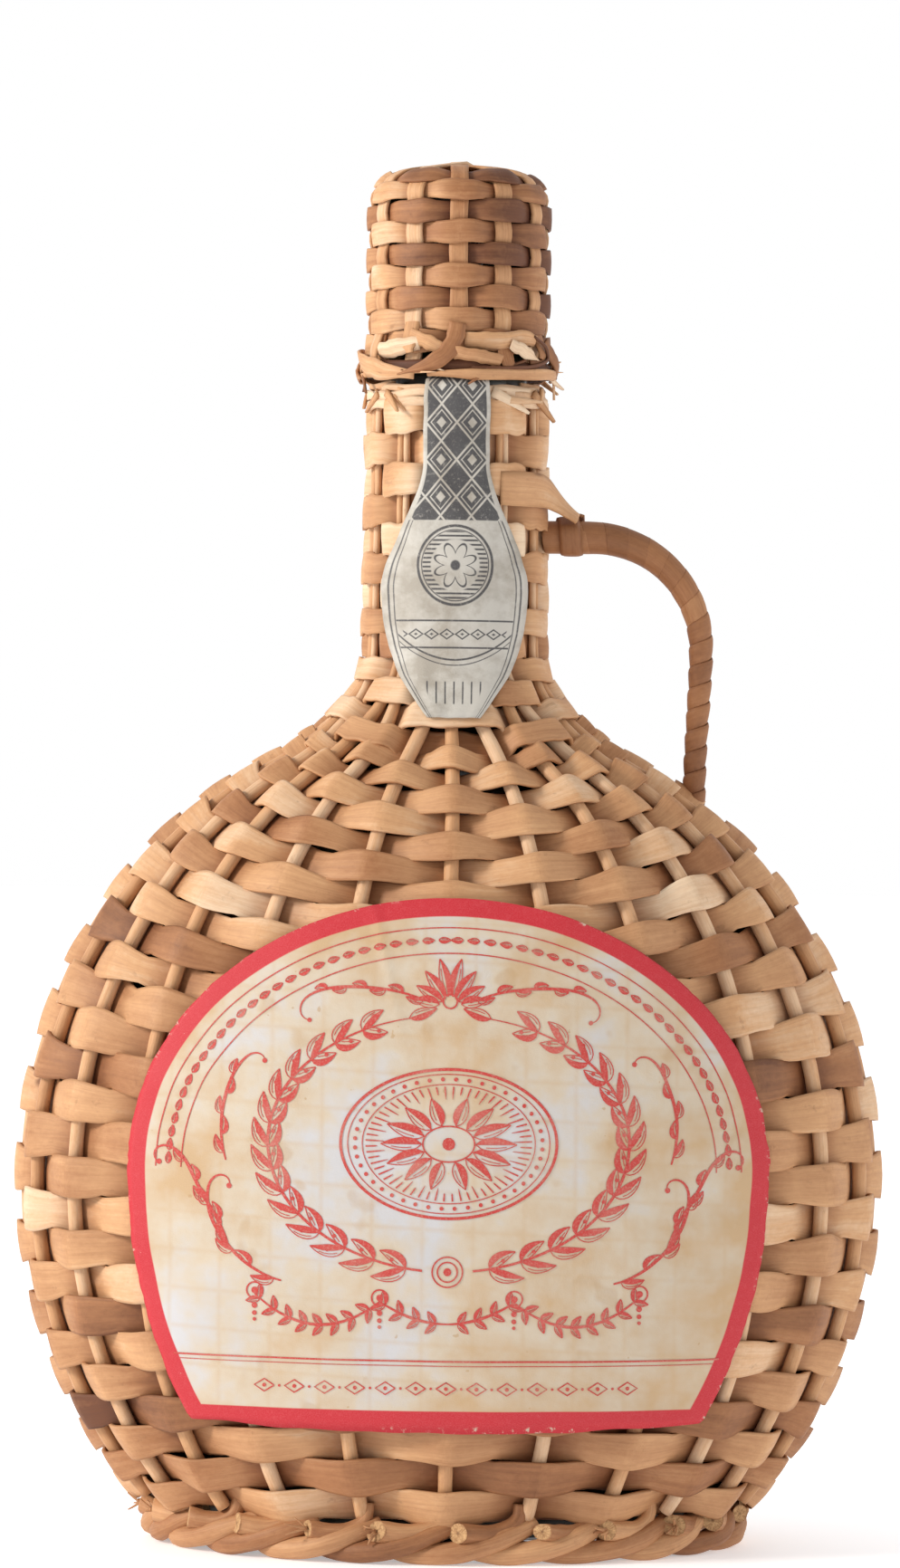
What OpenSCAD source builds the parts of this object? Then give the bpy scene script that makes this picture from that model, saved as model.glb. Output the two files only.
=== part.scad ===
// Wicker covered wine flask: an oval glass bottle in a woven willow jacket, with a cork,
// a woven cap that lifts off, a wrapped handle, a front label and a paper neck seal.
// The front faces -Y, the handle stands on the +X side, and the flask rests on z = 0.

/* [Jacket] */
// Width across the belly, over the weave
body_w = 156; // [130:1:180]
// Depth front to back, over the weave
body_d = 87; // [76:1:110]
// Half height of the oval side outline
belly_rise = 84; // [81:1:90]
// How much of the oval is missing under the flask
oval_cut = 19; // [16:1:22]
// How far under the top of the oval the shoulder starts to turn into the neck
shoulder_drop = 9; // [7:1:12]
// Height of the turn from the shoulder into the neck
flare_h = 20; // [18:1:23]
// Radius of the neck weave where it starts
neck_foot_r = 16.9; // [16.5:0.1:18]
// Radius of the neck weave at its top
neck_top_r = 16.5; // [16.3:0.1:17.5]
// Length of the straight neck, up to the top of its weave
neck_len = 44; // [38:1:46]
// Height where the lowest strip of the body ends
weave_foot_z = 6.5; // [6:0.1:9]
// How far under the top of the oval the body strips start at the front
front_drop = 6.5; // [5:0.5:8]
// How far under the top of the oval the body strips start at the sides
side_drop = 3; // [2:0.5:4]

/* [Weave] */
// Upright rods round the body
stakes = 24; // [20:4:28]
// Groups that the rods are gathered in on the neck
bundles = 10; // [8:2:10]
// Flat strips woven round the body
body_rows = 27; // [20:1:30]
// Flat strips woven round the neck
neck_rows = 13; // [9:1:15]
// Diameter of a rod on the body
stake_d = 2.5; // [1.8:0.1:2.8]
// Diameter of a rod on the neck
neck_stake_d = 1.2; // [0.8:0.1:1.4]
// Thickness of a woven strip
strip_t = 0.8; // [0.5:0.1:1]
// Room between a strip and the rod that it passes
weave_gap = 0.35; // [0.3:0.05:0.4]
// Outer radius of the plaited border under the body
border_r = 4.1; // [4.1:0.1:4.4]
// Radius of one strand of the border, over its corners
strand_r = 1.7; // [1.4:0.1:1.7]
// How far the border's middle stands outside the foot of the body outline
border_out = 2.2; // [1.8:0.1:3]
// Sticks that lie along the floor, and sticks that lie across them
long_sticks = 3; // [3:2:5]
cross_sticks = 9; // [7:2:11]
// Width and thickness of a floor stick
floor_stick_w = 4; // [3:0.5:5]
floor_stick_t = 0.8; // [0.6:0.1:0.9]

/* [Glass] */
// Room between the weave and the glass
glass_gap = 0.5; // [0.3:0.1:1]
// Thickness of the glass
glass_t = 3.3; // [2:0.1:4]
// Radius of the glass neck
glass_neck_r = 12.6; // [12:0.1:12.8]
// Radius of the bore that takes the cork
bore_r = 9.25; // [8.75:0.05:9.75]
// Radius of the lip
lip_r = 13.2; // [12.9:0.1:13.4]
// Height of the lip band
lip_h = 8; // [5:0.5:12]
// How far the lip stands above the cap's lower rim
lip_over_rim = 32.5; // [30:0.5:32.5]
// How deep the punt under the glass rises
punt_h = 5; // [2:0.5:9]
// Height of the underside of the glass
glass_foot_z = 2.6; // [2.5:0.1:3]

/* [Cork] */
// Radius of the cork
cork_r = 9.2; // [8.7:0.05:9.7]
// Length of the cork
cork_len = 38; // [30:1:44]
// How far the cork stands above the lip
cork_proud = 1; // [0.5:0.1:1]

/* [Cap] */
// Radius of the cap
cap_r = 16.8; // [16.3:0.1:17.5]
// Room between the neck weave and the cap's lower rim
cap_rise = 6; // [5:0.5:7]
// Height of the cap
cap_h = 38.8; // [38:0.1:41]
// Radius that rounds the cap's shoulder
cap_round = 7.4; // [5:0.1:7.5]
// Slope of the crown of the cap, in degrees
crown_slope = 10; // [6:1:12]
// Flat stakes round the cap
cap_stakes_n = 12; // [8:2:14]
// Strips woven round the cap
cap_rows = 9; // [8:1:11]
// Width of a flat cap stake
cap_stake_w = 3.2; // [2.4:0.1:3.6]
// Thickness of a flat cap stake
cap_stake_t = 0.8; // [0.5:0.1:0.9]
// Thickness of a cap strip
cap_strip_t = 0.6; // [0.4:0.1:0.7]
// Height of the folded rim of the cap
rim_h = 2; // [1.5:0.1:2.5]
// How far the folded rim flares out
rim_flare = 0.9; // [0:0.1:1.5]

/* [Handle] */
// How far the middle of the handle leaves the neck under the top of its weave
handle_drop = 23.7; // [19:0.1:25]
// How far the middle of the handle stands from the neck's axis
handle_x = 44.4; // [40:0.1:46]
// Radius of the handle's bend
bend_r = 19.8; // [16:0.1:22]
// Diameter of the core at the neck
core_top_d = 3.6; // [3:0.1:4]
// Diameter of the core at its foot
core_foot_d = 2; // [1.6:0.1:3]
// Width of the strip wound round the core
wrap_w = 2.9; // [2.2:0.1:2.95]
// Thickness of the strip wound round the core
wrap_t = 0.7; // [0.4:0.1:0.8]
// Distance from one turn of the strip to the next
wrap_pitch = 3.9; // [3.9:0.1:5]
// How far outside the neck the collar starts, and its width
collar_out = 2; // [1.2:0.1:3]
collar_w = 4; // [3:0.1:5]
// Thickness of the collar
collar_t = 0.8; // [0.5:0.1:1]

/* [Paper] */
// Half width of the front label at its widest place
label_half_w = 55.5; // [45:0.5:58]
// How far the widest place of the label is above the widest place of the jacket
label_lift = 3.7; // [0:0.1:7]
// How far the top of the label's arch is under the top of the oval
label_room = 33.3; // [30:0.1:40]
// Height of the label's lower edge
label_foot_z = 24.5; // [23:0.1:29]
// Drop over which the label's lower sides would close
label_taper = 72; // [60:1:90]
// Thickness of the papers
paper_t = 0.25; // [0.2:0.05:0.4]
// Room between a paper and what it is glued to
paper_gap = 0.3; // [0.25:0.05:0.4]
// Half width of the seal's strip under the cap
seal_strip_w = 5.6; // [4:0.1:7]
// Half width of the seal where it is widest
seal_half_w = 12.4; // [9:0.1:13]
// How far above the foot of the neck the seal is widest
seal_rise = 10; // [6:0.5:14]
// Half width of the seal's lower end
seal_foot_w = 4.4; // [3:0.1:6]
// How far the seal's lower end is under the foot of the neck
seal_fall = 13; // [10:0.5:14]
// How far the seal's upper end is above the cap's lower rim
seal_tuck = 22; // [10:1:22]

/* [Hidden] */
// Heights that follow from the sizes above
belly_z = belly_rise - oval_cut;
oval_top_z = belly_z + belly_rise;
shoulder_z = oval_top_z - shoulder_drop;
neck_foot_z = shoulder_z + flare_h;
neck_top_z = neck_foot_z + neck_len;
front_top_z = oval_top_z - front_drop;
side_top_z = oval_top_z - side_drop;
cap_z = neck_top_z + cap_rise;
cap_top_z = cap_z + cap_h;
lip_top_z = cap_z + lip_over_rim;
handle_z = neck_top_z - handle_drop;
label_mid_z = belly_z + label_lift;
label_arch = oval_top_z - label_room - label_mid_z;
seal_mid_z = neck_foot_z + seal_rise;
seal_foot_z = neck_foot_z - seal_fall;
seal_top_z = cap_z + seal_tuck;
// Power that makes the flat faces of the flask fuller than an oval
depth_power = 2.6;
// Step on which slopes are measured
probe = 0.05;
// Turn of the rod bundles, which puts each under its own rods
bundle_turn = -3;
// Room between neighbouring rods of a bundle, and beside pieces that only lie near
rod_gap = 0.06;
seat_gap = 0.3;
// Share of a strip's row that is left open on either side
open_share = 0.05;
// How the rows bunch: more of them low on the neck, fewer round the belly
neck_ease = 0.25;
front_power = 1.15;
side_ease = 0.1;
// Share of the neck below which its rows start to lift at the sides
lift_from_share = 0.6;
// Where the rods fan out of their bundles
fan_top_z = neck_foot_z;
fan_foot_z = mix(shoulder_z, neck_foot_z, 0.1);
// Rings of a rod on the body and in the fan
stake_rings = 13;
stake_ease = 0.3;
fan_ring_shares = [0.25, 0.5, 0.75, 1];
stake_sides = 4;
// Facets of the glass and of its inside
glass_sides = 24;
cavity_sides = 18;
glass_ring_shares = [0, 0.03, 0.08, 0.17, 0.3, 0.46, 0.62, 0.76, 0.88, 0.95, 1];
punt_shares = [[0.93, 0.1], [0.8, 0], [0.62, 0.25], [0.3, 0.9]];
lip_round = 2;
floor_shares = [[0.6, 1], [0.92, 0.5]];
overrun = 1;
// Border: its strands, each ring of them a sixth of a turn on, with their undersides pressed flat
strands = 3;
strand_turns = 8;
strand_rings = 6 * strand_turns;
strand_press = 0.1;
strand_half = strand_r * cos(45);
border_swing = (border_r - strand_r) * sin(60);
border_mid_z = border_swing + strand_half - strand_press;
border_top_z = border_mid_z + border_swing + strand_half;
// Floor: heights of its two layers, and how far the sticks reach
long_stick_z = glass_foot_z - 2 * (floor_stick_t + seat_gap / 2);
cross_stick_z = glass_foot_z - floor_stick_t - seat_gap / 2;
floor_reach = border_out - border_r - seat_gap;
// Foot of the rods, just over the border
stake_foot_z = border_top_z + seat_gap;
// Cap: half its thickness, its straight height and its profile
cap_gap = 0.3;
cap_half_t = cap_stake_t / 2 + cap_gap + cap_strip_t;
cap_arc = 90 - crown_slope;
crown_r = cap_r - cap_round * (1 - cos(cap_arc));
crown_rise = cap_round * sin(cap_arc) + crown_r * tan(crown_slope);
cap_straight = cap_top_z - cap_z - crown_rise;
cap_arc_len = cap_round * cap_arc * PI / 180;
cap_row_foot = rim_h + cap_gap;
// The top strip lies on the bend, and the stakes are bare over the crown
cap_row_top = cap_straight + 0.74 * cap_arc_len;
cap_stake_rings = 9;
cap_knots = [0.25, 0.75];
cap_tip_r = 3 * cap_stake_t;
// Share of the room beside its neighbours that a stake fills on the crown
cap_fill = 0.65;
cap_in_r = cap_r - 2 * cap_half_t;
// Neck rim
neck_rim_h = 3;
// Handle: where its core starts and ends, and the winding's loops
core_rings = 16;
core_sides = 8;
wrap_rings = 17;
handle_start_x = neck_top_r + (neck_foot_r - neck_top_r) / 2 + seat_gap;
bend_x = handle_x - bend_r;
bend_z = handle_z - bend_r;
handle_foot_z = side_z_at(handle_x - core_foot_d / 2) + seat_gap;
core_len = (bend_x - handle_start_x) + bend_r * PI / 2 + (bend_z - handle_foot_z);
collar_x = handle_start_x + collar_out;
wrap_start = wrap_w / 2 + seat_gap;
wrap_end = core_len - wrap_w / 2 - 2 * seat_gap;
wrap_turns = (wrap_end - wrap_start) / wrap_pitch;
wrap_steps = floor(wrap_turns * wrap_rings);
// Room between the core, the winding and the collar
wrap_gap = 0.25;
// The tie: a strip that comes round the neck and folds over the collar
tie_w = 5;
tie_z = handle_z + core_top_d / 2 + 2 * wrap_gap + wrap_t + collar_t + tie_w / 2;
tie_angles = [-57, -44, -31, -18];
tie_drop = 0.5;
tie_ends = [
    [[collar_x, -tie_w / 2], [-0.35, 0, 1], [0.5, -0.6, 0.55]],
    [[collar_x + collar_w, 0], [-1, 0, 1], [0.5, -0.3, 0.85]]];
// Label and seal grids
label_rows = 12;
label_cols = 12;
label_top_share = 0.995;
label_ease = 1.4;
seal_cols = 6;
seal_power = 0.8;
seal_rise_shares = [0, 0.12, 0.26, 0.42, 0.56, 0.7, 0.84, 1];

function row_name(stem, i) = str(stem, i < 10 ? "0" : "", i);
function mix(a, b, u) = a + (b - a) * u;
function clamp01(u) = max(0, min(1, u));
function smooth(u) = let (v = clamp01(u)) v * v * (3 - 2 * v);
function unit(v) = v / norm(v);

// Outline of the jacket: half width and half depth at height z
function oval_w(z) = body_w / 2 * sqrt(max(0, 1 - pow((z - belly_z) / belly_rise, 2)));
function oval_d(z) =
    body_d / 2 * pow(max(0, 1 - pow(abs(z - belly_z) / belly_rise, depth_power)), 1 / depth_power);
function neck_r_at(z) =
    mix(neck_foot_r, neck_top_r, (z - neck_foot_z) / (neck_top_z - neck_foot_z));
// The concave turn into the neck starts with the shoulder's own slope
function flare(edge, slope, z) =
    let (power = slope * (neck_foot_z - shoulder_z) / (edge - neck_foot_r))
    neck_foot_r + (edge - neck_foot_r)
        * pow(clamp01((neck_foot_z - z) / (neck_foot_z - shoulder_z)), power);
slope_w = (oval_w(shoulder_z - probe) - oval_w(shoulder_z)) / probe;
slope_d = (oval_d(shoulder_z - probe) - oval_d(shoulder_z)) / probe;
function half_w(z) =
    z < shoulder_z ? oval_w(z)
    : z < neck_foot_z ? flare(oval_w(shoulder_z), slope_w, z) : neck_r_at(z);
function half_d(z) =
    z < shoulder_z ? oval_d(z)
    : z < neck_foot_z ? flare(oval_d(shoulder_z), slope_d, z) : neck_r_at(z);
// Height of the shoulder's outside over a point on the x axis
function side_z_at(x) = belly_z + belly_rise * sqrt(1 - pow(x / (body_w / 2), 2));

function slope_of_w(z) = (half_w(z + probe) - half_w(z - probe)) / (2 * probe);
function slope_of_d(z) = (half_d(z + probe) - half_d(z - probe)) / (2 * probe);
function normal_at(z, t) =
    let (w = half_w(z), d = half_d(z))
    unit([cos(t) / w, sin(t) / d,
          -(pow(cos(t), 2) * slope_of_w(z) / w + pow(sin(t), 2) * slope_of_d(z) / d)]);
// A point under the jacket's outside, at a depth along its normal
function shell(z, t, depth) =
    [half_w(z) * cos(t), half_d(z) * sin(t), z] - depth * normal_at(z, t);

// Rods: their place round the body, in bundles on the neck
neck_half_t = neck_stake_d / 2 + weave_gap + strip_t;
function home_angle(k) = k * 360 / stakes;
function bundle_of(k) = floor(k * bundles / stakes);
function bundle_first(b) = ceil(b * stakes / bundles);
function bundle_size(b) = bundle_first(b + 1) - bundle_first(b);
rod_step = (neck_stake_d + rod_gap) / (neck_top_r - neck_half_t) * 180 / PI;
function neck_angle(k) =
    let (b = bundle_of(k))
    (b + 0.5) * 360 / bundles + bundle_turn
        + (k - bundle_first(b) - (bundle_size(b) - 1) / 2) * rod_step;
function fan(z) = smooth((fan_top_z - z) / (fan_top_z - fan_foot_z));
function stake_angle(k, z) = mix(neck_angle(k), home_angle(k), fan(z));
function stake_r_at(z) = mix(neck_stake_d, stake_d, fan(z)) / 2;
// Half the thickness of the weave, which is the depth of the rods' middle
function half_t(z) = stake_r_at(z) + weave_gap + strip_t;

// Height of a strip's edge, counted in rows from the top of the neck
top_angle = asin((side_top_z - belly_z) / belly_rise);
foot_angle = asin((weave_foot_z - belly_z) / belly_rise);
function neck_edge_z(v, t) =
    neck_top_z - (neck_top_z - front_top_z) * (v * (1 + neck_ease) - neck_ease * v * v)
        + (side_top_z - front_top_z) * pow(cos(t), 2)
            * pow(clamp01((v - lift_from_share) / (1 - lift_from_share)), 2);
function body_edge_z(v, t) =
    let (front = mix(front_top_z, weave_foot_z, pow(v, front_power)),
         eased = v - side_ease * sin(360 * v) / (2 * PI),
         side = belly_z + belly_rise * sin(mix(top_angle, foot_angle, eased)))
    mix(front, side, pow(cos(t), 2));
function edge_z(b, t) =
    b <= neck_rows ? neck_edge_z(b / neck_rows, t)
                   : body_edge_z((b - neck_rows) / body_rows, t);
function passes_over(row, k) =
    (row < neck_rows ? bundle_of(k) + row : k + row - neck_rows) % 2 == 0;
// Height at which a strip's edge passes a rod, which moves round as it fans out
function crossing_z(b, k) = edge_z(b, stake_angle(k, edge_z(b, home_angle(k))));
function strip_section(row, k) =
    let (top = crossing_z(row + open_share, k),
         foot = crossing_z(row + 1 - open_share, k),
         over = passes_over(row, k),
         near_top = over ? 0 : 2 * half_t(top) - strip_t,
         near_foot = over ? 0 : 2 * half_t(foot) - strip_t)
    [shell(top, stake_angle(k, top), near_top),
     shell(foot, stake_angle(k, foot), near_foot),
     shell(foot, stake_angle(k, foot), near_foot + strip_t),
     shell(top, stake_angle(k, top), near_top + strip_t)];

// A tube through rings of points, each counter-clockwise seen from beyond the last one
module skin(rings, closed = false) {
    m = len(rings[0]);
    n = len(rings);
    last = closed ? n - 1 : n - 2;
    sides = [for (i = [0 : last], j = [0 : m - 1])
        let (i2 = (i + 1) % n, j2 = (j + 1) % m)
        each [[i * m + j, i2 * m + j2, i * m + j2], [i * m + j, i2 * m + j, i2 * m + j2]]];
    ends = closed ? [] : [[for (j = [0 : m - 1]) j], [for (j = [m - 1 : -1 : 0]) (n - 1) * m + j]];
    polyhedron(points = [for (r = rings) each r], faces = concat(sides, ends), convexity = 10);
}

// A sheet between two grids of points, rows going up and columns to the right, seen from outside
module sheet(outside, inside) {
    n = len(outside);
    m = len(outside[0]);
    q = n * m;
    faces = [for (i = [0 : n - 2], j = [0 : m - 2])
        let (a = i * m + j, b = a + 1, c = a + m, d = c + 1)
        each [[a, d, b], [a, c, d], [q + a, q + b, q + d], [q + a, q + d, q + c]]];
    low_high = [for (j = [0 : m - 2])
        let (a = j, c = (n - 1) * m + j)
        each [[a, a + 1, q + a + 1], [a, q + a + 1, q + a],
              [c, q + c + 1, c + 1], [c, q + c, q + c + 1]]];
    left_right = [for (i = [0 : n - 2])
        let (a = i * m, b = i * m + m - 1)
        each [[a, q + a, q + a + m], [a, q + a + m, a + m],
              [b, q + b + m, q + b], [b, b + m, q + b + m]]];
    polyhedron(points = concat([for (r = outside) each r], [for (r = inside) each r]),
               faces = concat(faces, low_high, left_right), convexity = 10);
}

module woven_strip(row) {
    color("burlywood")
        skin([for (k = [0 : stakes - 1]) strip_section(row, k)], closed = true);
}

// One rod, swept from its foot to its tip, with its rings closer where the jacket bends more
stake_foot_angle = asin((stake_foot_z - belly_z) / belly_rise);
stake_fan_angle = asin((fan_foot_z - belly_z) / belly_rise);
stake_heights = concat(
    [for (i = [0 : stake_rings])
        let (u = i / stake_rings, eased = u - stake_ease * sin(360 * u) / (2 * PI))
        belly_z + belly_rise * sin(mix(stake_foot_angle, stake_fan_angle, eased))],
    [for (u = fan_ring_shares) mix(fan_foot_z, fan_top_z, u)],
    [neck_top_z]);
function stake_ring(k, z) =
    let (t = stake_angle(k, z), r = stake_r_at(z),
         out = normal_at(z, t), along = unit([-half_w(z) * sin(t), half_d(z) * cos(t), 0]))
    [for (a = [0 : 360 / stake_sides : 359])
        shell(z, t, half_t(z)) + r * (cos(a) * out + sin(a) * along)];

module body_stakes() {
    color("tan")
        for (k = [0 : stakes - 1]) skin([for (z = stake_heights) stake_ring(k, z)]);
}

// Border: strands twisted round each other, pressed flat where they meet the table
border_w = half_w(0) + border_out;
border_d = half_d(0) + border_out;
function border_ring(s, i) =
    let (t = i * 360 / strand_rings,
         turn = s * 360 / strands + i * 360 * strand_turns / strand_rings,
         out = unit([cos(t) / border_w, sin(t) / border_d, 0]),
         c = [border_w * cos(t), border_d * sin(t), border_mid_z]
             + (border_r - strand_r) * (cos(turn) * out + sin(turn) * [0, 0, 1]))
    [for (a = [45 : 90 : 315])
        let (p = c + strand_r * (sin(a) * [0, 0, 1] - cos(a) * out))
        [p[0], p[1], max(p[2], 0)]];

module base_border() {
    color("peru")
        for (s = [0 : strands - 1])
            skin([for (i = [0 : strand_rings - 1]) border_ring(s, i)], closed = true);
}

// Floor: sticks along it with sticks across them, which the glass stands on
function floor_chord(along, across, at) =
    2 * (along + floor_reach) * sqrt(1 - pow((abs(at) + floor_stick_w / 2) / (across + floor_reach), 2));
function floor_place(i, n, reach) = reach * (2 * (i + 1) / (n + 1) - 1);
module floor_stick(size, place) {
    translate(place) cube(size, center = true);
}

module floor_long_sticks() {
    color("tan")
        for (i = [0 : long_sticks - 1])
            let (y = floor_place(i, long_sticks, half_d(0)))
                floor_stick([floor_chord(half_w(0), half_d(0), y), floor_stick_w, floor_stick_t],
                            [0, y, long_stick_z + floor_stick_t / 2]);
}

module floor_cross_sticks() {
    color("peru")
        for (i = [0 : cross_sticks - 1])
            let (x = floor_place(i, cross_sticks, half_w(0)))
                floor_stick([floor_stick_w, floor_chord(half_d(0), half_w(0), x), floor_stick_t],
                            [x, 0, cross_stick_z + floor_stick_t / 2]);
}

// Glass
function wall_depth(z) = 2 * half_t(z) + glass_gap;
glass_heights = concat([for (u = glass_ring_shares) mix(glass_foot_z / 2, shoulder_z, u)],
                       [for (u = fan_ring_shares) mix(shoulder_z, neck_foot_z, u)]);
function glass_ring(z, depth, sides) =
    [for (j = [0 : sides - 1]) shell(z, j * 360 / sides, wall_depth(z) + depth)];
function neck_ring(z, r, sides) = [for (j = [0 : sides - 1])
    [r * cos(j * 360 / sides), r * sin(j * 360 / sides), z]];
function foot_ring(share, rise, sides) =
    [for (p = glass_ring(glass_heights[0], 0, sides)) [p[0] * share, p[1] * share, glass_foot_z + punt_h * rise]];
function floor_ring(share, rise) =
    [for (p = glass_ring(glass_heights[0], glass_t, cavity_sides))
        [p[0] * share, p[1] * share, glass_foot_z + punt_h + glass_t * rise]];

module glass_bottle() {
    color("darkolivegreen")
        difference() {
            union() {
                skin(concat(
                    [for (i = [len(punt_shares) - 1 : -1 : 0])
                        foot_ring(punt_shares[i][0], punt_shares[i][1], glass_sides)],
                    [for (z = glass_heights) glass_ring(z, 0, glass_sides)],
                    [neck_ring(neck_foot_z + glass_t, bore_r + glass_t / 2, glass_sides)]));
                translate([0, 0, neck_foot_z])
                    cylinder(r = glass_neck_r, h = lip_top_z - lip_h - neck_foot_z, $fn = 96);
                translate([0, 0, lip_top_z - lip_h]) rotate_extrude($fn = 96) lip_profile();
            }
            skin(concat(
                [for (f = floor_shares) floor_ring(f[0], f[1])],
                [for (i = [2 : len(glass_heights) - 1])
                    glass_ring(glass_heights[i], glass_t, cavity_sides)],
                [neck_ring(neck_foot_z + glass_t, bore_r - glass_t / 2, cavity_sides)]));
            translate([0, 0, neck_foot_z])
                cylinder(r = bore_r, h = lip_top_z - neck_foot_z + overrun, $fn = 96);
        }
}

module lip_profile() {
    polygon([
        [bore_r - overrun, 0], [lip_r, 0],
        for (a = [0 : 15 : 90])
            [lip_r - lip_round * (1 - cos(a)), lip_h - lip_round * (1 - sin(a))],
        [bore_r - overrun, lip_h]]);
}

module cork() {
    color("sandybrown")
        translate([0, 0, lip_top_z + cork_proud - cork_len])
            cylinder(r = cork_r, h = cork_len, $fn = 96);
}

// Rim that closes the top of the neck weave
module neck_rim() {
    rim_in = neck_top_r - 2 * neck_half_t;
    color("tan")
        translate([0, 0, neck_top_z + seat_gap])
            rotate_extrude($fn = 96)
                polygon([[rim_in, 0], [neck_top_r, 0], [neck_top_r, neck_rim_h - strip_t],
                         [neck_top_r - strip_t, neck_rim_h], [rim_in + strip_t, neck_rim_h],
                         [rim_in, neck_rim_h - strip_t]]);
}

// Cap: its profile is followed by arc length from the rim, with a depth under its outside
function cap_bend(s) = clamp01((s - cap_straight) / cap_arc_len) * cap_arc;
function cap_radius(s) =
    cap_r - cap_round * (1 - cos(cap_bend(s)))
        - max(0, s - cap_straight - cap_arc_len) * cos(crown_slope);
function cap_height(s) =
    cap_z + min(s, cap_straight) + cap_round * sin(cap_bend(s))
        + max(0, s - cap_straight - cap_arc_len) * sin(crown_slope);
function cap_point(s, t, depth) =
    let (r = cap_radius(s) - depth * cos(cap_bend(s)))
    [r * cos(t), r * sin(t), cap_height(s) - depth * sin(cap_bend(s))];
function cap_stake_half_w(s) =
    let (r = cap_radius(s) - (cap_half_t + cap_stake_t / 2) * cos(cap_bend(s)))
    min(cap_stake_w / 2, cap_fill * r * tan(180 / cap_stakes_n));
function cap_edge_angle(s) = asin(cap_stake_half_w(s) / (cap_radius(s) - cap_half_t));
cap_end_s = cap_straight + cap_arc_len + (crown_r - cap_tip_r) / cos(crown_slope);
function cap_stake_ring(t, i) =
    let (u = i / (cap_stake_rings - 1),
         s = lookup(u, [[0, cap_row_foot], [cap_knots[0], cap_straight],
                        [cap_knots[1], cap_straight + cap_arc_len], [1, cap_end_s]]),
         w = cap_stake_half_w(s), side = [-sin(t), cos(t), 0],
         near = cap_point(s, t, cap_half_t - cap_stake_t / 2),
         far = cap_point(s, t, cap_half_t + cap_stake_t / 2))
    [near - w * side, near + w * side, far + w * side, far - w * side];

module cap_stakes() {
    color("sienna")
        for (k = [0 : cap_stakes_n - 1])
            skin([for (i = [0 : cap_stake_rings - 1])
                cap_stake_ring(-90 + k * 360 / cap_stakes_n, i)]);
}

function cap_section(row, k, side) =
    let (pitch = (cap_row_top - cap_row_foot) / cap_rows,
         foot = cap_row_foot + (row + open_share) * pitch,
         top = cap_row_foot + (row + 1 - open_share) * pitch,
         t = -90 + k * 360 / cap_stakes_n,
         depth = (row + k) % 2 == 1 ? 0 : 2 * cap_half_t - cap_strip_t)
    [cap_point(top, t + side * cap_edge_angle(top), depth),
     cap_point(foot, t + side * cap_edge_angle(foot), depth),
     cap_point(foot, t + side * cap_edge_angle(foot), depth + cap_strip_t),
     cap_point(top, t + side * cap_edge_angle(top), depth + cap_strip_t)];

module cap_strips() {
    color("peru")
        for (row = [0 : cap_rows - 1])
            skin([for (k = [0 : cap_stakes_n - 1], side = [-1, 1]) cap_section(row, k, side)],
                 closed = true);
}

module cap_rim() {
    color("sienna")
        translate([0, 0, cap_z])
            rotate_extrude($fn = 96)
                polygon([[cap_in_r, 0], [cap_r + rim_flare, 0], [cap_r, rim_h], [cap_in_r, rim_h]]);
}

// Handle: the path of its core, from the neck out, round the bend and down
function path_bend(s) = clamp01((s - (bend_x - handle_start_x)) / (bend_r * PI / 2)) * 90;
function path_point(s) =
    let (a = path_bend(s))
    [min(handle_start_x + s, bend_x) + bend_r * sin(a), 0,
     bend_z + bend_r * cos(a) - max(0, s - (bend_x - handle_start_x) - bend_r * PI / 2)];
function path_dir(s) = [cos(path_bend(s)), 0, -sin(path_bend(s))];
function path_up(s) = cross(path_dir(s), [0, 1, 0]);
function core_r_at(s) = mix(core_top_d, core_foot_d, clamp01(s / core_len)) / 2;
function core_ring(s) =
    [for (a = [0 : 360 / core_sides : 359])
        path_point(s) + core_r_at(s) * (cos(a) * [0, 1, 0] + sin(a) * path_up(s))];

module handle_core() {
    color("tan") skin([for (i = [0 : core_rings - 1]) core_ring(i * core_len / (core_rings - 1))]);
}

// The winding: one strip in a helix round the core, each end run out straight
function wrap_s(i) = wrap_start + i * wrap_pitch / wrap_rings;
function wrap_out(i) =
    let (a = 360 * i / wrap_rings) cos(a) * [0, 1, 0] + sin(a) * path_up(wrap_s(i));
function wrap_on(i) =
    let (a = 360 * i / wrap_rings) -sin(a) * [0, 1, 0] + cos(a) * path_up(wrap_s(i));
function wrap_section(i, run) =
    let (s = wrap_s(i), out = wrap_out(i), r = core_r_at(s) + wrap_gap,
         c = path_point(s) + run * wrap_on(i), w = wrap_w / 2 * path_dir(s))
    [c + (r + wrap_t) * out - w, c + r * out - w, c + r * out + w, c + (r + wrap_t) * out + w];
wrap_rings_all = concat(
    [wrap_section(0, -wrap_t)],
    [for (i = [0 : wrap_steps]) wrap_section(i, 0)],
    [wrap_section(wrap_steps, wrap_t)]);
wrap_least_gap = min([for (i = [0 : wrap_steps - wrap_rings], a = [0, 1], b = [2, 3])
    norm(wrap_section(i + wrap_rings, 0)[a] - wrap_section(i, 0)[b])]);
echo(wrap_loops = wrap_turns, wrap_least_gap = wrap_least_gap);

module handle_wrap() {
    color("burlywood") skin(wrap_rings_all);
}

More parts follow.
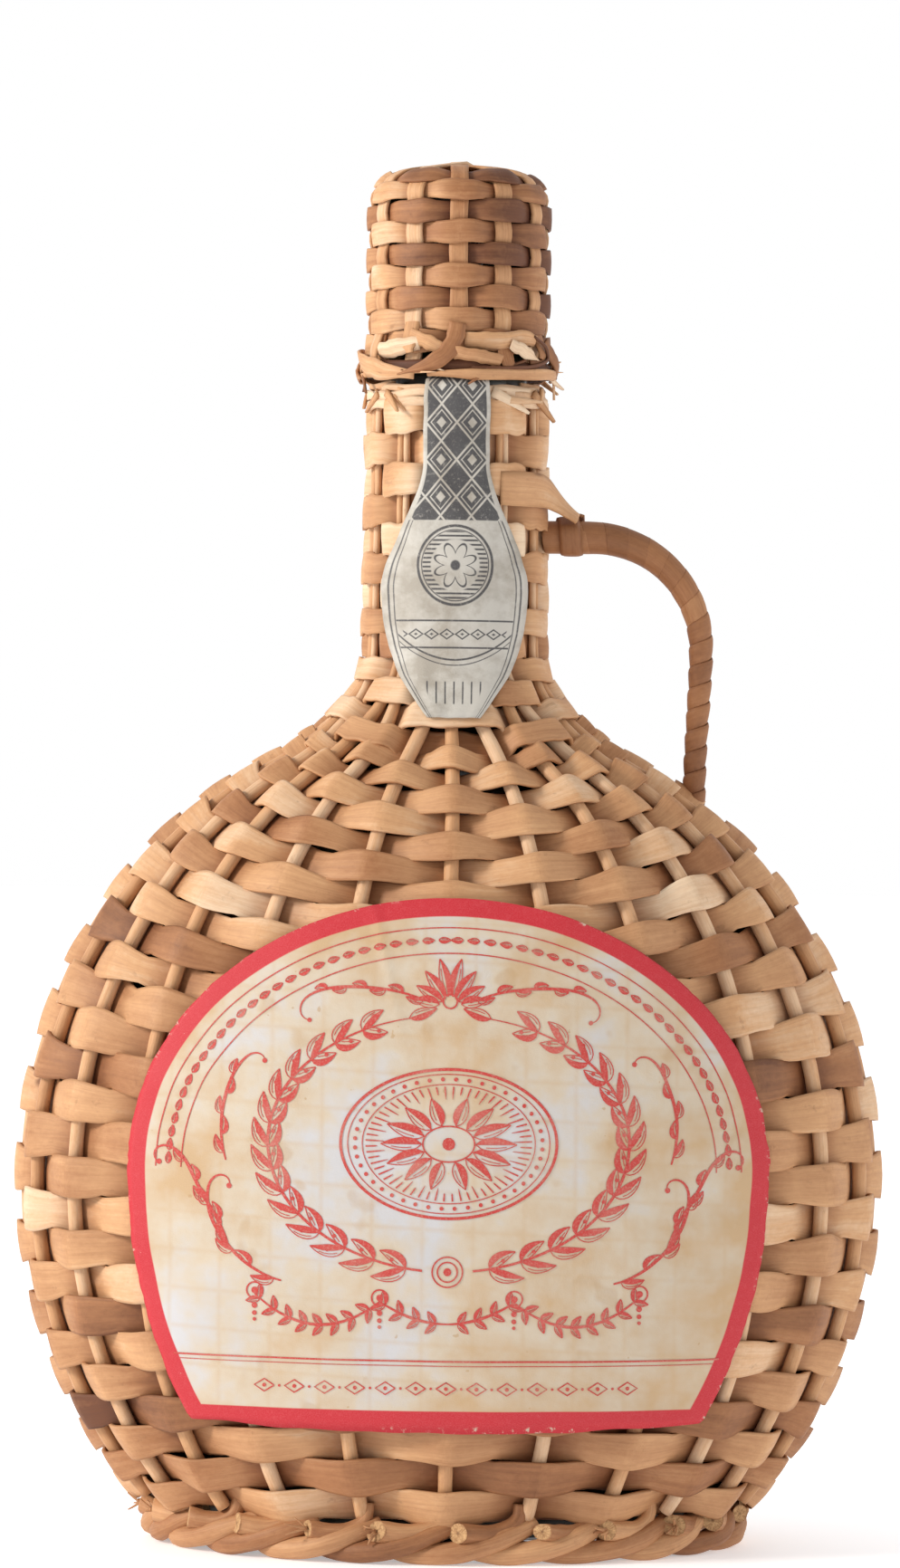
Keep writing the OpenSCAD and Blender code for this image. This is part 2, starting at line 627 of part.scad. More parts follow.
// Collar: a band round the core beside the neck
module handle_collar() {
    collar_in = core_top_d / 2 + wrap_gap + wrap_t + wrap_gap;
    color("peru")
        translate([collar_x, 0, handle_z])
            rotate([0, 90, 0])
                difference() {
                    cylinder(r = collar_in + collar_t, h = collar_w, $fn = 64);
                    translate([0, 0, -overrun])
                        cylinder(r = collar_in, h = collar_w + 2 * overrun, $fn = 64);
                }
}

// Tie: comes round the neck over its weave and ends above the collar. Each end section has
// its place, its lean and its outward side.
function tie_section(c, out, up) =
    [c + strip_t * out + up, c + strip_t * out - up, c - up, c + up];
tie_sections = concat(
    [for (t = tie_angles)
        let (out = [cos(t), sin(t), 0], r = neck_r_at(tie_z) + seat_gap)
        tie_section([r * cos(t), r * sin(t), tie_z], out, [0, 0, tie_w / 2])],
    [for (e = tie_ends)
        tie_section([e[0][0], e[0][1], tie_z - tie_drop], unit(e[2]), tie_w / 2 * unit(e[1]))]);

module handle_tie() {
    color("burlywood") skin(tie_sections);
}

// Front label: an arch over a gently tapered foot, laid on the weave
function label_half(z) =
    let (reach = z > label_mid_z ? label_arch : label_taper)
    label_half_w * sqrt(max(0, 1 - pow((z - label_mid_z) / reach, 2)));
function label_height(i) =
    let (u = i / (label_rows - 1))
    mix(label_foot_z, label_mid_z + label_arch * label_top_share, 1 - pow(1 - u, label_ease));
function label_point(i, j, depth) =
    let (z = label_height(i), x = label_half(z) * (2 * j / (label_cols - 1) - 1))
    shell(z, -acos(x / half_w(z)), depth);
function label_grid(depth) =
    [for (i = [0 : label_rows - 1]) [for (j = [0 : label_cols - 1]) label_point(i, j, depth)]];

module front_label() {
    color("ivory") sheet(label_grid(-paper_gap - paper_t), label_grid(-paper_gap));
}

// Neck seal: a shield over the neck weave, whose strip turns in over the neck rim, under the
// cap's rim and up the glass
seal_over_z = neck_top_z + seat_gap + neck_rim_h + paper_gap;
function seal_half(z) =
    z < seal_mid_z
        ? mix(seal_foot_w, seal_half_w,
              pow(sin(90 * (z - seal_foot_z) / (seal_mid_z - seal_foot_z)), seal_power))
        : mix(seal_half_w, seal_strip_w,
              smooth((z - seal_mid_z) / (neck_top_z - 2 * seal_strip_w - seal_mid_z)));
function seal_t(z, j) =
    -90 + (2 * j / seal_cols - 1) * seal_half(z) / half_d(z) * 180 / PI;
function seal_row(z, depth) = [for (j = [0 : seal_cols]) shell(z, seal_t(z, j), -depth)];
function seal_turn(r, z) = [for (j = [0 : seal_cols])
    let (t = -90 + (2 * j / seal_cols - 1) * seal_strip_w / neck_top_r * 180 / PI)
    [r * cos(t), r * sin(t), z]];
function seal_grid(d) = concat(
    [for (u = seal_rise_shares) seal_row(mix(seal_foot_z, neck_top_z, u), paper_gap + d)],
    [seal_turn(neck_top_r + paper_gap + d, seal_over_z - strip_t),
     seal_turn(neck_top_r - strip_t + paper_gap + d / 2, seal_over_z + d),
     seal_turn(glass_neck_r + paper_gap + strip_t + d / 2, seal_over_z + paper_gap + d),
     seal_turn(glass_neck_r + paper_gap + d, seal_over_z + strip_t + paper_gap + d),
     seal_turn(glass_neck_r + paper_gap + d, seal_top_z)]);

module neck_seal() {
    color("gainsboro") sheet(seal_grid(paper_t), seal_grid(0));
}

for (i = [0 : neck_rows - 1])
    woven_strip(i);
for (i = [0 : body_rows - 1])
    woven_strip(neck_rows + i);
glass_bottle();
cork();
body_stakes();
base_border();
neck_rim();
floor_long_sticks();
floor_cross_sticks();
cap_stakes();
cap_strips();
cap_rim();
handle_core();
handle_wrap();
handle_collar();
handle_tie();
front_label();
neck_seal();
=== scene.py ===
import random
from math import acos, asin, atan2, cos, degrees, hypot, pi, radians, sin, sqrt, tan, tau

import bmesh
import bpy
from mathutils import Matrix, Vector, noise


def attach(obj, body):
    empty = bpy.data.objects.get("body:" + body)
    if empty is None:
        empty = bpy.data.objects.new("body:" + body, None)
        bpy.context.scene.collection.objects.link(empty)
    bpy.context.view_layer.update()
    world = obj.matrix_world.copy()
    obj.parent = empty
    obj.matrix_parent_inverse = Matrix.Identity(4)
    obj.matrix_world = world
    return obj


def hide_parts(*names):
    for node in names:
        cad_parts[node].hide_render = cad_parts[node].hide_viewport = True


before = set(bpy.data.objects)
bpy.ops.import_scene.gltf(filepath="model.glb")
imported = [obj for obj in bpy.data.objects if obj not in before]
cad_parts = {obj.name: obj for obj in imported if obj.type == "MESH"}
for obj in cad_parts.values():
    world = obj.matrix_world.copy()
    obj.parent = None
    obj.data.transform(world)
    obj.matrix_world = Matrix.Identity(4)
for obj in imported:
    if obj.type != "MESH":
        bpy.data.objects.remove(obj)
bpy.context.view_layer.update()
print("frame loaded:", len(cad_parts), "nodes")

mm = 0.001
back = pi / 2
probe = 0.05 * mm  # step for slopes
weld = 0.002 * mm  # points closer than this are joined

# The jacket's outline, which every woven piece follows
jacket = {
    "width": 156 * mm,
    "depth": 87 * mm,
    "bellyZ": 65 * mm,
    "rise": 84 * mm,
    "fullness": 2.6,
    "shoulderZ": 140 * mm,
    "neckFootZ": 160 * mm,
    "neckTopZ": 204 * mm,
    "neckFootR": 16.9 * mm,
    "neckTopR": 16.5 * mm,
    "stripFootZ": 6.5 * mm,
    "stripFrontZ": 142.5 * mm,
    "stripSideZ": 146 * mm,
}

weave = {
    "rods": 24,
    "bundles": 10,
    "neckRows": 13,
    "bodyRows": 27,
    "rodD": 2.5 * mm,
    "neckRodD": 1.2 * mm,
    "rodGap": 0.06 * mm,
    "bundleTurn": radians(-3),
    "thick": 0.8 * mm,
    "gap": 0.35 * mm,
    "neckEase": 0.25,
    "frontPower": 1.15,
    "sideEase": 0.1,
    "liftFrom": 0.6,
}


def mix(a, b, share):
    return a + (b - a) * share


def clamp(value, low=0.0, high=1.0):
    return max(low, min(high, value))


def smooth(value):
    v = clamp(value)
    return v * v * (3 - 2 * v)


def rough(x, y, z):
    return noise.noise(Vector((x, y, z)))


def wobble(t, frequency, seed):
    # Noise that comes round to itself at the back
    return rough(cos(t) * frequency, sin(t) * frequency, seed * 7.31)


def ovalWidth(z):
    share = (z - jacket["bellyZ"]) / jacket["rise"]
    return jacket["width"] / 2 * sqrt(max(0, 1 - share * share))


def ovalDepth(z):
    share = abs(z - jacket["bellyZ"]) / jacket["rise"]
    power = jacket["fullness"]
    return jacket["depth"] / 2 * max(0, 1 - share ** power) ** (1 / power)


def neckRadius(z):
    share = (z - jacket["neckFootZ"]) / (jacket["neckTopZ"] - jacket["neckFootZ"])
    return mix(jacket["neckFootR"], jacket["neckTopR"], share)


def flare(oval, z):
    # The concave turn into the neck starts with the shoulder's own slope
    low, high = jacket["shoulderZ"], jacket["neckFootZ"]
    edge = oval(low) - jacket["neckFootR"]
    slope = (oval(low - probe) - oval(low)) / probe
    return jacket["neckFootR"] + edge * ((high - z) / (high - low)) ** (slope * (high - low) / edge)


def halfSize(oval, z):
    if z < jacket["shoulderZ"]:
        return oval(z)
    return flare(oval, z) if z < jacket["neckFootZ"] else neckRadius(z)


sizeCache = {}


def halfSizes(z):
    # Half width, half depth and their slopes, kept because thousands of points ask for them
    key = round(z, 5)
    if key not in sizeCache:
        ovals = (ovalWidth, ovalDepth)
        slopes = [(halfSize(o, key + probe) - halfSize(o, key - probe)) / (2 * probe) for o in ovals]
        sizeCache[key] = (*[halfSize(o, key) for o in ovals], *slopes)
    return sizeCache[key]


def normalAt(z, t):
    w, d, slopeW, slopeD = halfSizes(z)
    c, s = cos(t), sin(t)
    return Vector((c / w, s / d, -(c * c * slopeW / w + s * s * slopeD / d))).normalized()


def shell(z, t, depth):
    # A point under the jacket's outside, at a depth along its normal
    w, d = halfSizes(z)[:2]
    return Vector((w * cos(t), d * sin(t), z)) - depth * normalAt(z, t)


def fan(z):
    low = mix(jacket["shoulderZ"], jacket["neckFootZ"], 0.1)
    return smooth((jacket["neckFootZ"] - z) / (jacket["neckFootZ"] - low))


def rodRadius(z):
    return mix(weave["neckRodD"], weave["rodD"], fan(z)) / 2


def rodDepth(z):
    return rodRadius(z) + weave["gap"] + weave["thick"]


def bundleOf(k):
    return k * weave["bundles"] // weave["rods"]


def firstRod(b):
    return -(-b * weave["rods"] // weave["bundles"])


def neckAngle(k):
    # The rods of a bundle lie side by side
    b = bundleOf(k)
    place = k - firstRod(b) - (firstRod(b + 1) - firstRod(b) - 1) / 2
    step = (weave["neckRodD"] + weave["rodGap"]) / (jacket["neckTopR"] - rodDepth(jacket["neckTopZ"]))
    return (b + 0.5) * tau / weave["bundles"] + weave["bundleTurn"] + place * step


def rodAngle(k, z):
    return mix(neckAngle(k), k * tau / weave["rods"], fan(z))


def neckEdge(v, t):
    top, foot = jacket["neckTopZ"], jacket["stripFrontZ"]
    ease = weave["neckEase"]
    lift = clamp((v - weave["liftFrom"]) / (1 - weave["liftFrom"])) ** 2
    side = (jacket["stripSideZ"] - foot) * cos(t) ** 2 * lift
    return top - (top - foot) * (v * (1 + ease) - ease * v * v) + side


def bodyEdge(v, t):
    high = asin((jacket["stripSideZ"] - jacket["bellyZ"]) / jacket["rise"])
    low = asin((jacket["stripFootZ"] - jacket["bellyZ"]) / jacket["rise"])
    eased = v - weave["sideEase"] * sin(tau * v) / tau
    side = jacket["bellyZ"] + jacket["rise"] * sin(mix(high, low, eased))
    middle = mix(jacket["stripFrontZ"], jacket["stripFootZ"], clamp(v) ** weave["frontPower"])
    return mix(middle, side, cos(t) ** 2)


def edgeHeight(b, t):
    # Height of a strip's edge, counted in rows from the top of the neck
    if b <= weave["neckRows"]:
        return neckEdge(b / weave["neckRows"], t)
    return bodyEdge((b - weave["neckRows"]) / weave["bodyRows"], t)


def passesOver(row, k):
    count = bundleOf(k) + row if row < weave["neckRows"] else k + row - weave["neckRows"]
    return count % 2 == 0


# Meshes

def spline(points, count):
    # Smooth points along a route given by a few
    route = [2 * points[0] - points[1]] + list(points) + [2 * points[-1] - points[-2]]
    made = []
    for i in range(count):
        place = i / (count - 1) * (len(points) - 1)
        n = min(int(place), len(points) - 2)
        f = place - n
        a, b, c, d = route[n:n + 4]
        made.append(0.5 * (2 * b + (c - a) * f + (2 * a - 5 * b + 4 * c - d) * f * f
                           + (3 * b - a - 3 * c + d) * f ** 3))
    return made


def aheadAt(route, i):
    return (route[min(i + 1, len(route) - 1)] - route[max(i - 1, 0)]).normalized()


def routeLength(route):
    return sum((b - a).length for a, b in zip(route, route[1:]))


def bumpy(share, angle, seed, frequency):
    # Noise over a tube that meets itself where the tube closes
    return rough(share * frequency, cos(angle) + seed, sin(angle))


def spread(x):
    # A share that is far from its neighbours'
    return x * 0.618 % 1


def roundPoint(bearing, r, z):
    # A point by its bearing in degrees, and its distance from the middle and height in millimetres
    t = radians(bearing)
    return Vector((r * cos(t), r * sin(t), z)) * mm


def gridInto(bm, columns, rows, place, lengths=(1, 1), shift=(0, 0), values=None, uvAt=None):
    # A grid whose points are moved to place(u, v), with a UV map in metres or of its own
    uv = bm.loops.layers.uv.verify()
    layers = bm.verts.layers.float
    tone = layers.get("tone") or layers.new("tone")
    lift = layers.get("lift") or layers.new("lift")
    made = bmesh.ops.create_grid(bm, x_segments=columns, y_segments=rows, size=0.5)["verts"]
    faces = {f for v in made for f in v.link_faces}
    for face in faces:
        face.smooth = True
        for loop in face.loops:
            u, v = loop.vert.co.x + 0.5, loop.vert.co.y + 0.5
            loop[uv].uv = uvAt(u, v) if uvAt else (u * lengths[0] + shift[0], v * lengths[1] + shift[1])
    for vert in made:
        u, v = vert.co.x + 0.5, vert.co.y + 0.5
        vert.co = place(u, v)
        vert[tone], vert[lift] = values(u, v) if values else (0.5, 0.5)
    return made, faces


def tubeInto(bm, route, radii, sides=10, shift=(0, 0), endSlot=0, tone=0.5, cut=None):
    # A closed tube along a route; a slanting cut takes off all that lies past it
    n = len(route)
    last = aheadAt(route, n - 1)
    cutRing = n - 5 if cut else n
    frames = []
    side = None
    for i, c in enumerate(route):
        ahead = aheadAt(route, i)
        if side is None:
            side = ahead.orthogonal().normalized()
        side = (side - side.dot(ahead) * ahead).normalized()
        frames.append((c, side.copy(), ahead.cross(side)))

    def place(u, v):
        i = min(round(u * (n - 1)), n - 1)
        c, a, b = frames[i]
        angle = v * tau % tau
        r = radii(min(i, cutRing) / (n - 1), angle)
        point = c + r * (cos(angle) * a + sin(angle) * b)
        if cut:
            past = (point - route[cutRing]).dot(cut)
            if past > 0 or i == n - 1:
                point -= last * past / cut.dot(last)
        return point

    made, _ = gridInto(bm, n - 1, sides, place, (routeLength(route), tau * radii(0.5, 0)), shift,
                       lambda u, v: (tone, 1))
    bmesh.ops.remove_doubles(bm, verts=made, dist=weld)
    alive = [v for v in made if v.is_valid]
    rims = {e for v in alive for e in v.link_edges if e.is_boundary}
    uv = bm.loops.layers.uv.verify()
    c, a, b = frames[-1]
    for end in bmesh.ops.holes_fill(bm, edges=list(rims), sides=0)["faces"]:
        end.material_index = endSlot
        end.smooth = False
        for loop in end.loops:
            arm = loop.vert.co - c
            loop[uv].uv = Vector((arm.dot(a), arm.dot(b))).normalized()
    bmesh.ops.recalc_face_normals(bm, faces=list({f for v in alive for f in v.link_faces}))


def ribbonInto(bm, route, wide, outward, steps=3, shift=(0, 0), tone=0.5, lift=1.0, curl=0.0):
    # A flat strip along a route, whose face looks outward; a lift under 1 gives it painted shade
    n = len(route)

    def place(u, v):
        i = min(round(u * (n - 1)), n - 1)
        ahead = aheadAt(route, i)
        out = outward(route[i], u) if callable(outward) else outward
        out = (out - out.dot(ahead) * ahead).normalized()
        breadth = wide(u) if callable(wide) else wide
        side = 2 * v - 1
        return route[i] + out.cross(ahead) * side * breadth / 2 - out * curl * side * side

    middle = wide(0.5) if callable(wide) else wide
    gridInto(bm, n - 1, steps, place, (routeLength(route), middle), shift, lambda u, v: (tone, lift))


def radial(point, share=0):
    # Straight out from the middle, whatever the share of the route
    return Vector((point.x, point.y, 0)).normalized()


def headingAt(out, roundBy, upBy, outBy):
    # A direction by its parts round the middle, up and outwards
    return (Vector((-out.y, out.x, 0)) * roundBy + Vector((0, 0, upBy)) + out * outBy).normalized()


def splinterInto(bm, start, heading, long, wide, rng, outward, tone=0.6):
    # A broken sliver that tapers to a ragged point
    bend = Vector((rng.uniform(-1, 1), rng.uniform(-1, 1), rng.uniform(-1, 1))) * 0.25 * long
    route = spline([start, start + heading * long * 0.5 + bend * 0.4, start + heading * long + bend], 7)
    ribbonInto(bm, route, lambda u: wide * (1 - 0.75 * u ** 1.5), outward, 2,
               (rng.uniform(0, 9), rng.uniform(0, 9)), tone)


def addObject(name, data):
    made = bpy.data.objects.new(name, data)
    bpy.context.scene.collection.objects.link(made)
    return made


def meshFrom(bm, name):
    mesh = bpy.data.meshes.new(name)
    bm.to_mesh(mesh)
    bm.free()
    return addObject(name, mesh)


def pieceFrom(bm, name, body, finishes, replaced, wallThick=0):
    piece = meshFrom(bm, name)
    for finish in finishes:
        piece.data.materials.append(finish)
    if wallThick:
        wall = piece.modifiers.new("wall", "SOLIDIFY")
        wall.thickness = wallThick
        wall.offset = -1
        wall.use_even_offset = False
    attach(piece, body)
    if replaced:
        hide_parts(*replaced)


# Materials

def colour(code):
    # A hex colour as linear light, opaque
    parts = [int(code[i:i + 2], 16) / 255 for i in (1, 3, 5)]
    return (*[p / 12.92 if p <= 0.04045 else ((p + 0.055) / 1.055) ** 2.4 for p in parts], 1)


class Wire:
    # One output of a node, so that shader maths reads as plain sums
    def __init__(self, finish, socket):
        self.finish, self.socket = finish, socket

    def maths(self, operation, *others):
        return self.finish.maths(operation, self, *others)

    def __add__(self, other):
        return self.maths("ADD", other)

    def __sub__(self, other):
        return self.maths("SUBTRACT", other)

    def __rsub__(self, other):
        return self.finish.maths("SUBTRACT", other, self)

    def __mul__(self, other):
        return self.maths("MULTIPLY", other)

    def __truediv__(self, other):
        return self.maths("DIVIDE", other)

    def __pow__(self, other):
        return self.maths("POWER", other)

    def __abs__(self):
        return self.maths("ABSOLUTE")

    __radd__ = __add__
    __rmul__ = __mul__

    def __rtruediv__(self, other):
        return self.finish.maths("DIVIDE", other, self)

    def below(self, edge, soft):
        # 1 where the value is under an edge, 0 over it
        places = (self, edge - soft, edge + soft, 1.0, 0.0)
        return self.finish.node("ShaderNodeMapRange", {"clamp": True}, places)

    def above(self, edge, soft):
        return 1.0 - self.below(edge, soft)


class Finish:
    # A material made from node calls
    def __init__(self, name):
        self.material = bpy.data.materials.new(name)
        self.material.use_nodes = True
        self.tree = self.material.node_tree
        self.shader = self.tree.nodes["Principled BSDF"]

    def node(self, kind, settings, sockets, out=0):
        made = self.tree.nodes.new(kind)
        for key, value in settings.items():
            if key == "stops":
                ramp = made.color_ramp
                while len(ramp.elements) < len(value):
                    ramp.elements.new(0.5)
                for stop, (place, tint) in zip(ramp.elements, value):
                    stop.position = place
                    stop.color = colour(tint)
            else:
                setattr(made, key, value)
        places = sockets.items() if isinstance(sockets, dict) else enumerate(sockets)
        for key, value in places:
            self.put(made.inputs[key], value)
        return Wire(self, made.outputs[out])

    def put(self, socket, value):
        if isinstance(value, Wire):
            self.tree.links.new(value.socket, socket)
        else:
            socket.default_value = colour(value) if isinstance(value, str) else value

    def set(self, **values):
        for key, value in values.items():
            self.put(self.shader.inputs[key.replace("_", " ")], value)

    def maths(self, operation, *values):
        return self.node("ShaderNodeMath", {"operation": operation}, values)

    def coordinates(self, kind="Object"):
        return self.node("ShaderNodeTexCoord", {}, (), kind)

    def parts(self, vector):
        split = self.node("ShaderNodeSeparateXYZ", {}, (vector,))
        return [Wire(self, s) for s in split.socket.node.outputs]

    def join(self, x, y, z=0.0):
        return self.node("ShaderNodeCombineXYZ", {}, (x, y, z))

    def attribute(self, name):
        return self.node("ShaderNodeAttribute", {"attribute_name": name}, (), "Fac")

    def grain(self, vector, scale, detail=3.0, roughness=0.55):
        sockets = {"Vector": vector, "Scale": scale, "Detail": detail, "Roughness": roughness}
        return self.node("ShaderNodeTexNoise", {}, sockets)

    def blend(self, share, a, b, kind="MIX"):
        settings = {"data_type": "RGBA", "blend_type": kind}
        return self.node("ShaderNodeMix", settings, {0: share, 6: a, 7: b}, 2)

    def ramp(self, value, stops):
        return self.node("ShaderNodeValToRGB", {"stops": stops}, (value,))

    def voronoi(self, vector, scale, out):
        return self.node("ShaderNodeTexVoronoi", {}, {"Vector": vector, "Scale": scale}, out)

    def finished(self, base, roughness, height=None, distance=0.0, strength=1.0):
        # Links what varies over the surface, and hands back the material
        self.set(Base_Color=base, Roughness=roughness)
        if height:
            sockets = {"Height": height, "Distance": distance, "Strength": strength}
            self.set(Normal=self.node("ShaderNodeBump", {}, sockets))
        return self.material


willow = {
    "pale": "#eed6b8",
    "honey": "#cf9f73",
    "brown": "#a4714b",
    "dark": "#683f28",
    # repeats in a metre along and across, seed, detail, roughness
    "fibre": (95, 3300, 0.0, 4.0, 0.65),
    "streak": (40, 950, 0.0, 3.0, 0.55),
    "patch": (45, 90, 0.0, 2.0, 0.55),
    "grime": (260, 420, 3.0, 5.0, 0.7),
    "mottle": (700, 1500, 6.0, 3.0, 0.7),
    "knots": (24, 62),
    "gloss": 0.35,
    "roughness": 0.6,
}


def willowFinish(name, hue=0.0, contrast=1.0, grainy=0.6, mapped=True, knots=0.045):
    # Split willow: fine fibres, soft patches, knots, random grime, and painted shade where a strip dives
    f = Finish(name)
    if mapped:
        along, across, _ = f.parts(f.coordinates("UV"))
        tone = f.attribute("tone")
        lift = f.attribute("lift")
    else:
        x, y, z = f.parts(f.coordinates())
        along, across = x, y + z
        tone, lift = 0.45, 1.0

    def stretched(kind):
        a, b, seed, *fineness = willow[kind]
        return f.grain(f.join(along * a, across * b, seed), 1.0, *fineness)

    kinds = ("fibre", "streak", "patch", "grime", "mottle")
    fibres, streaks, patches, grime, mottle = map(stretched, kinds)
    level = tone + (patches - 0.5) * 0.6 * contrast + (streaks - 0.5) * 0.42 * grainy * contrast
    level = level + (mottle - 0.5) * 0.2 + hue
    stops = [(0.0, willow["dark"]), (0.3, willow["brown"]), (0.62, willow["honey"]), (1.0, willow["pale"])]
    base = f.ramp(level, stops)
    base = f.blend(fibres.below(0.45, 0.12) * 0.3 * grainy, base, willow["brown"], "MULTIPLY")
    base = f.blend(grime.above(0.66, 0.05) * 0.3, base, willow["dark"])
    # painted shade: darker where the lift is low, where a strip dives under a rod or its neighbour
    if mapped:
        base = f.blend((1.0 - lift) * 0.5, base, willow["brown"], "MULTIPLY")
    if knots:
        cell = f.join(along * willow["knots"][0], across * willow["knots"][1])
        spot = f.voronoi(cell, 1.0, "Distance")
        chosen = f.parts(f.voronoi(cell, 1.0, "Color"))[0].above(0.6, 0.01)
        halo = spot.below(knots * 2.6, knots * 1.4) * chosen * 0.35
        base = f.blend(halo, base, willow["brown"])
        base = f.blend(spot.below(knots, 0.012) * chosen * 0.8, base, willow["dark"])
    f.set(Specular_IOR_Level=willow["gloss"])
    height = (fibres * 0.6 + streaks * 0.6) * grainy + mottle * 0.3
    return f.finished(base, willow["roughness"] + (fibres - 0.5) * 0.3, height, 0.22 * mm, 0.5)


stripFinish = willowFinish("woven strip", -0.03, 1.15)
rodFinish = willowFinish("willow rod", 0.04, 0.7, knots=0)
borderFinish = willowFinish("border rod", -0.17, 1.0, 0.8, knots=0)
capFinish = willowFinish("cap strip", -0.12, 1.0, 0.9)
handleFinish = willowFinish("handle skein", -0.29, 0.7, 0.6, knots=0)
floorFinish = willowFinish("floor stick", -0.1, mapped=False, knots=0)


def cutEndFinish():
    # End grain of a cut rod: a dark rind, split rays and a pith
    f = Finish("cut rod end")
    place = f.coordinates()
    u, v, _ = f.parts(f.coordinates("UV"))
    r = (u * u + v * v) ** 0.5
    speckle = f.grain(place, 1500.0, 4.0, 0.7)
    rays = f.grain(f.join(v.maths("ARCTAN2", u) * 3.0, r, f.parts(place)[2] * 400), 2.0, 2.0)
    base = f.ramp(speckle * 0.5 + rays * 0.5, [(0.36, "#8f6540"), (0.62, "#cfa777")])
    base = f.blend(r.above(0.9, 0.07) * 0.6, base, "#8a5d3b")
    base = f.blend(r.below(0.15, 0.08) * 0.7, base, "#6d4a30")
    return f.finished(base, 0.8, speckle + rays, 0.12 * mm, 0.6)


def glassFinish():
    f = Finish("olive glass")
    cloud = f.grain(f.coordinates(), 60.0, 3.0)
    f.set(Transmission_Weight=0.45, IOR=1.52)
    base = f.ramp(cloud, [(0.3, "#10160c"), (0.8, "#2a3518")])
    return f.finished(base, 0.2 + cloud * 0.12)


def corkFinish():
    f = Finish("cork")
    pores = f.voronoi(f.coordinates(), 900.0, "Distance")
    pits = f.grain(f.coordinates(), 420.0, 4.0, 0.7)
    base = f.ramp(pits, [(0.3, "#6f4526"), (0.45, "#b98755"), (0.8, "#d3a777")])
    return f.finished(base, 0.85, pits + pores * 0.4, 0.4 * mm, 0.8)


endFinish = cutEndFinish()


# Woven strips of the neck and body

strip = {
    "thick": 0.7 * mm,
    "loops": 6,
    "edgeEase": 0.1,
    "bodyR": 62 * mm,
    "crown": 0.2 * mm,
    "narrow": 0.98,
    "bodyBulge": 0.2,
    "neckBulge": 0.12,
    "hiddenBulge": 0.42,
    "waver": 0.1,
    "drift": 0.45 * mm,
    "tilt": 0.45 * mm,
    "proud": 0.15 * mm,
    "slack": 0.2 * mm,
    "lowest": 0.5 * mm,
    "overNeck": 1.5 * mm,
    "darkRow": 30,
    "mottled": 0.28,
    "steps": (0, 0.03, 0.07, 0.12, 0.2, 0.3, 0.4, 0.5, 0.6, 0.7, 0.78, 0.85, 0.91, 0.96),
    "bodyDive": (0.05, 0.96, 0.35),
    "neckDive": (0.3, 0.86, 0.7),
    "tones": (0.61, 0.56, 0.66, 0.52, 0.63, 0.46, 0.68, 0.57, 0.3, 0.61, 0.53, 0.66, 0.42, 0.59),
}


def dive(f, hold, end, soft):
    # A strip going from over one rod to under the next: its own height, and how far above
    # (or, if less than 0, below) its neighbour it is, which comes up meanwhile
    def fall(x):
        e = clamp((x - hold) / (end - hold))
        return mix(e, smooth(e), soft)

    level = 1 - fall(f)
    return level, level - 1 + fall(1 - f)


def stations(marks, steps, shape):
    # Angles round a strip, each with its height and bulge; marks are the rods it passes
    made = []
    for (a, overA), (b, overB) in zip(marks, marks[1:]):
        for f in steps:
            if overA == overB:
                made.append((mix(a, b, f), (1.0, 1.0) if overA else (0.0, -1.0)))
            elif overA:
                made.append((mix(a, b, f), dive(f, *shape)))
            else:
                made.append((mix(b, a, f), dive(f, *shape)))
    made.sort()
    return made + [(made[0][0] + tau, made[0][1])]


def crossings(row):
    # Where a strip passes the rods, as (angle, over) from the back round to the back again
    found = []
    for k in range(weave["rods"]):
        t = k * tau / weave["rods"]
        for _ in range(2):
            t = rodAngle(k, edgeHeight(row + 0.5, t))
        found.append(((t - back) % tau + back, passesOver(row, k)))
    found.sort()
    return found + [(found[0][0] + tau, found[0][1])]


def stripInto(bm, marks, point, shade, lengths, shift):
    # A closed strip, whose loops of points lie closer at its edges
    count = len(marks) - 1

    def place(u, v):
        t, (level, bulge) = marks[round(u * count)]
        return point(t, level, bulge, 2 * (v - strip["edgeEase"] * sin(tau * v)) - 1)

    def values(u, v):
        t, (level, _) = marks[round(u * count)]
        # the lift falls where the strip dives, and gives it painted shade there
        return clamp(shade(t)), smooth(level * 1.8)

    made, _ = gridInto(bm, count, strip["loops"], place, lengths, shift, values)
    bmesh.ops.remove_doubles(bm, verts=made, dist=weld)


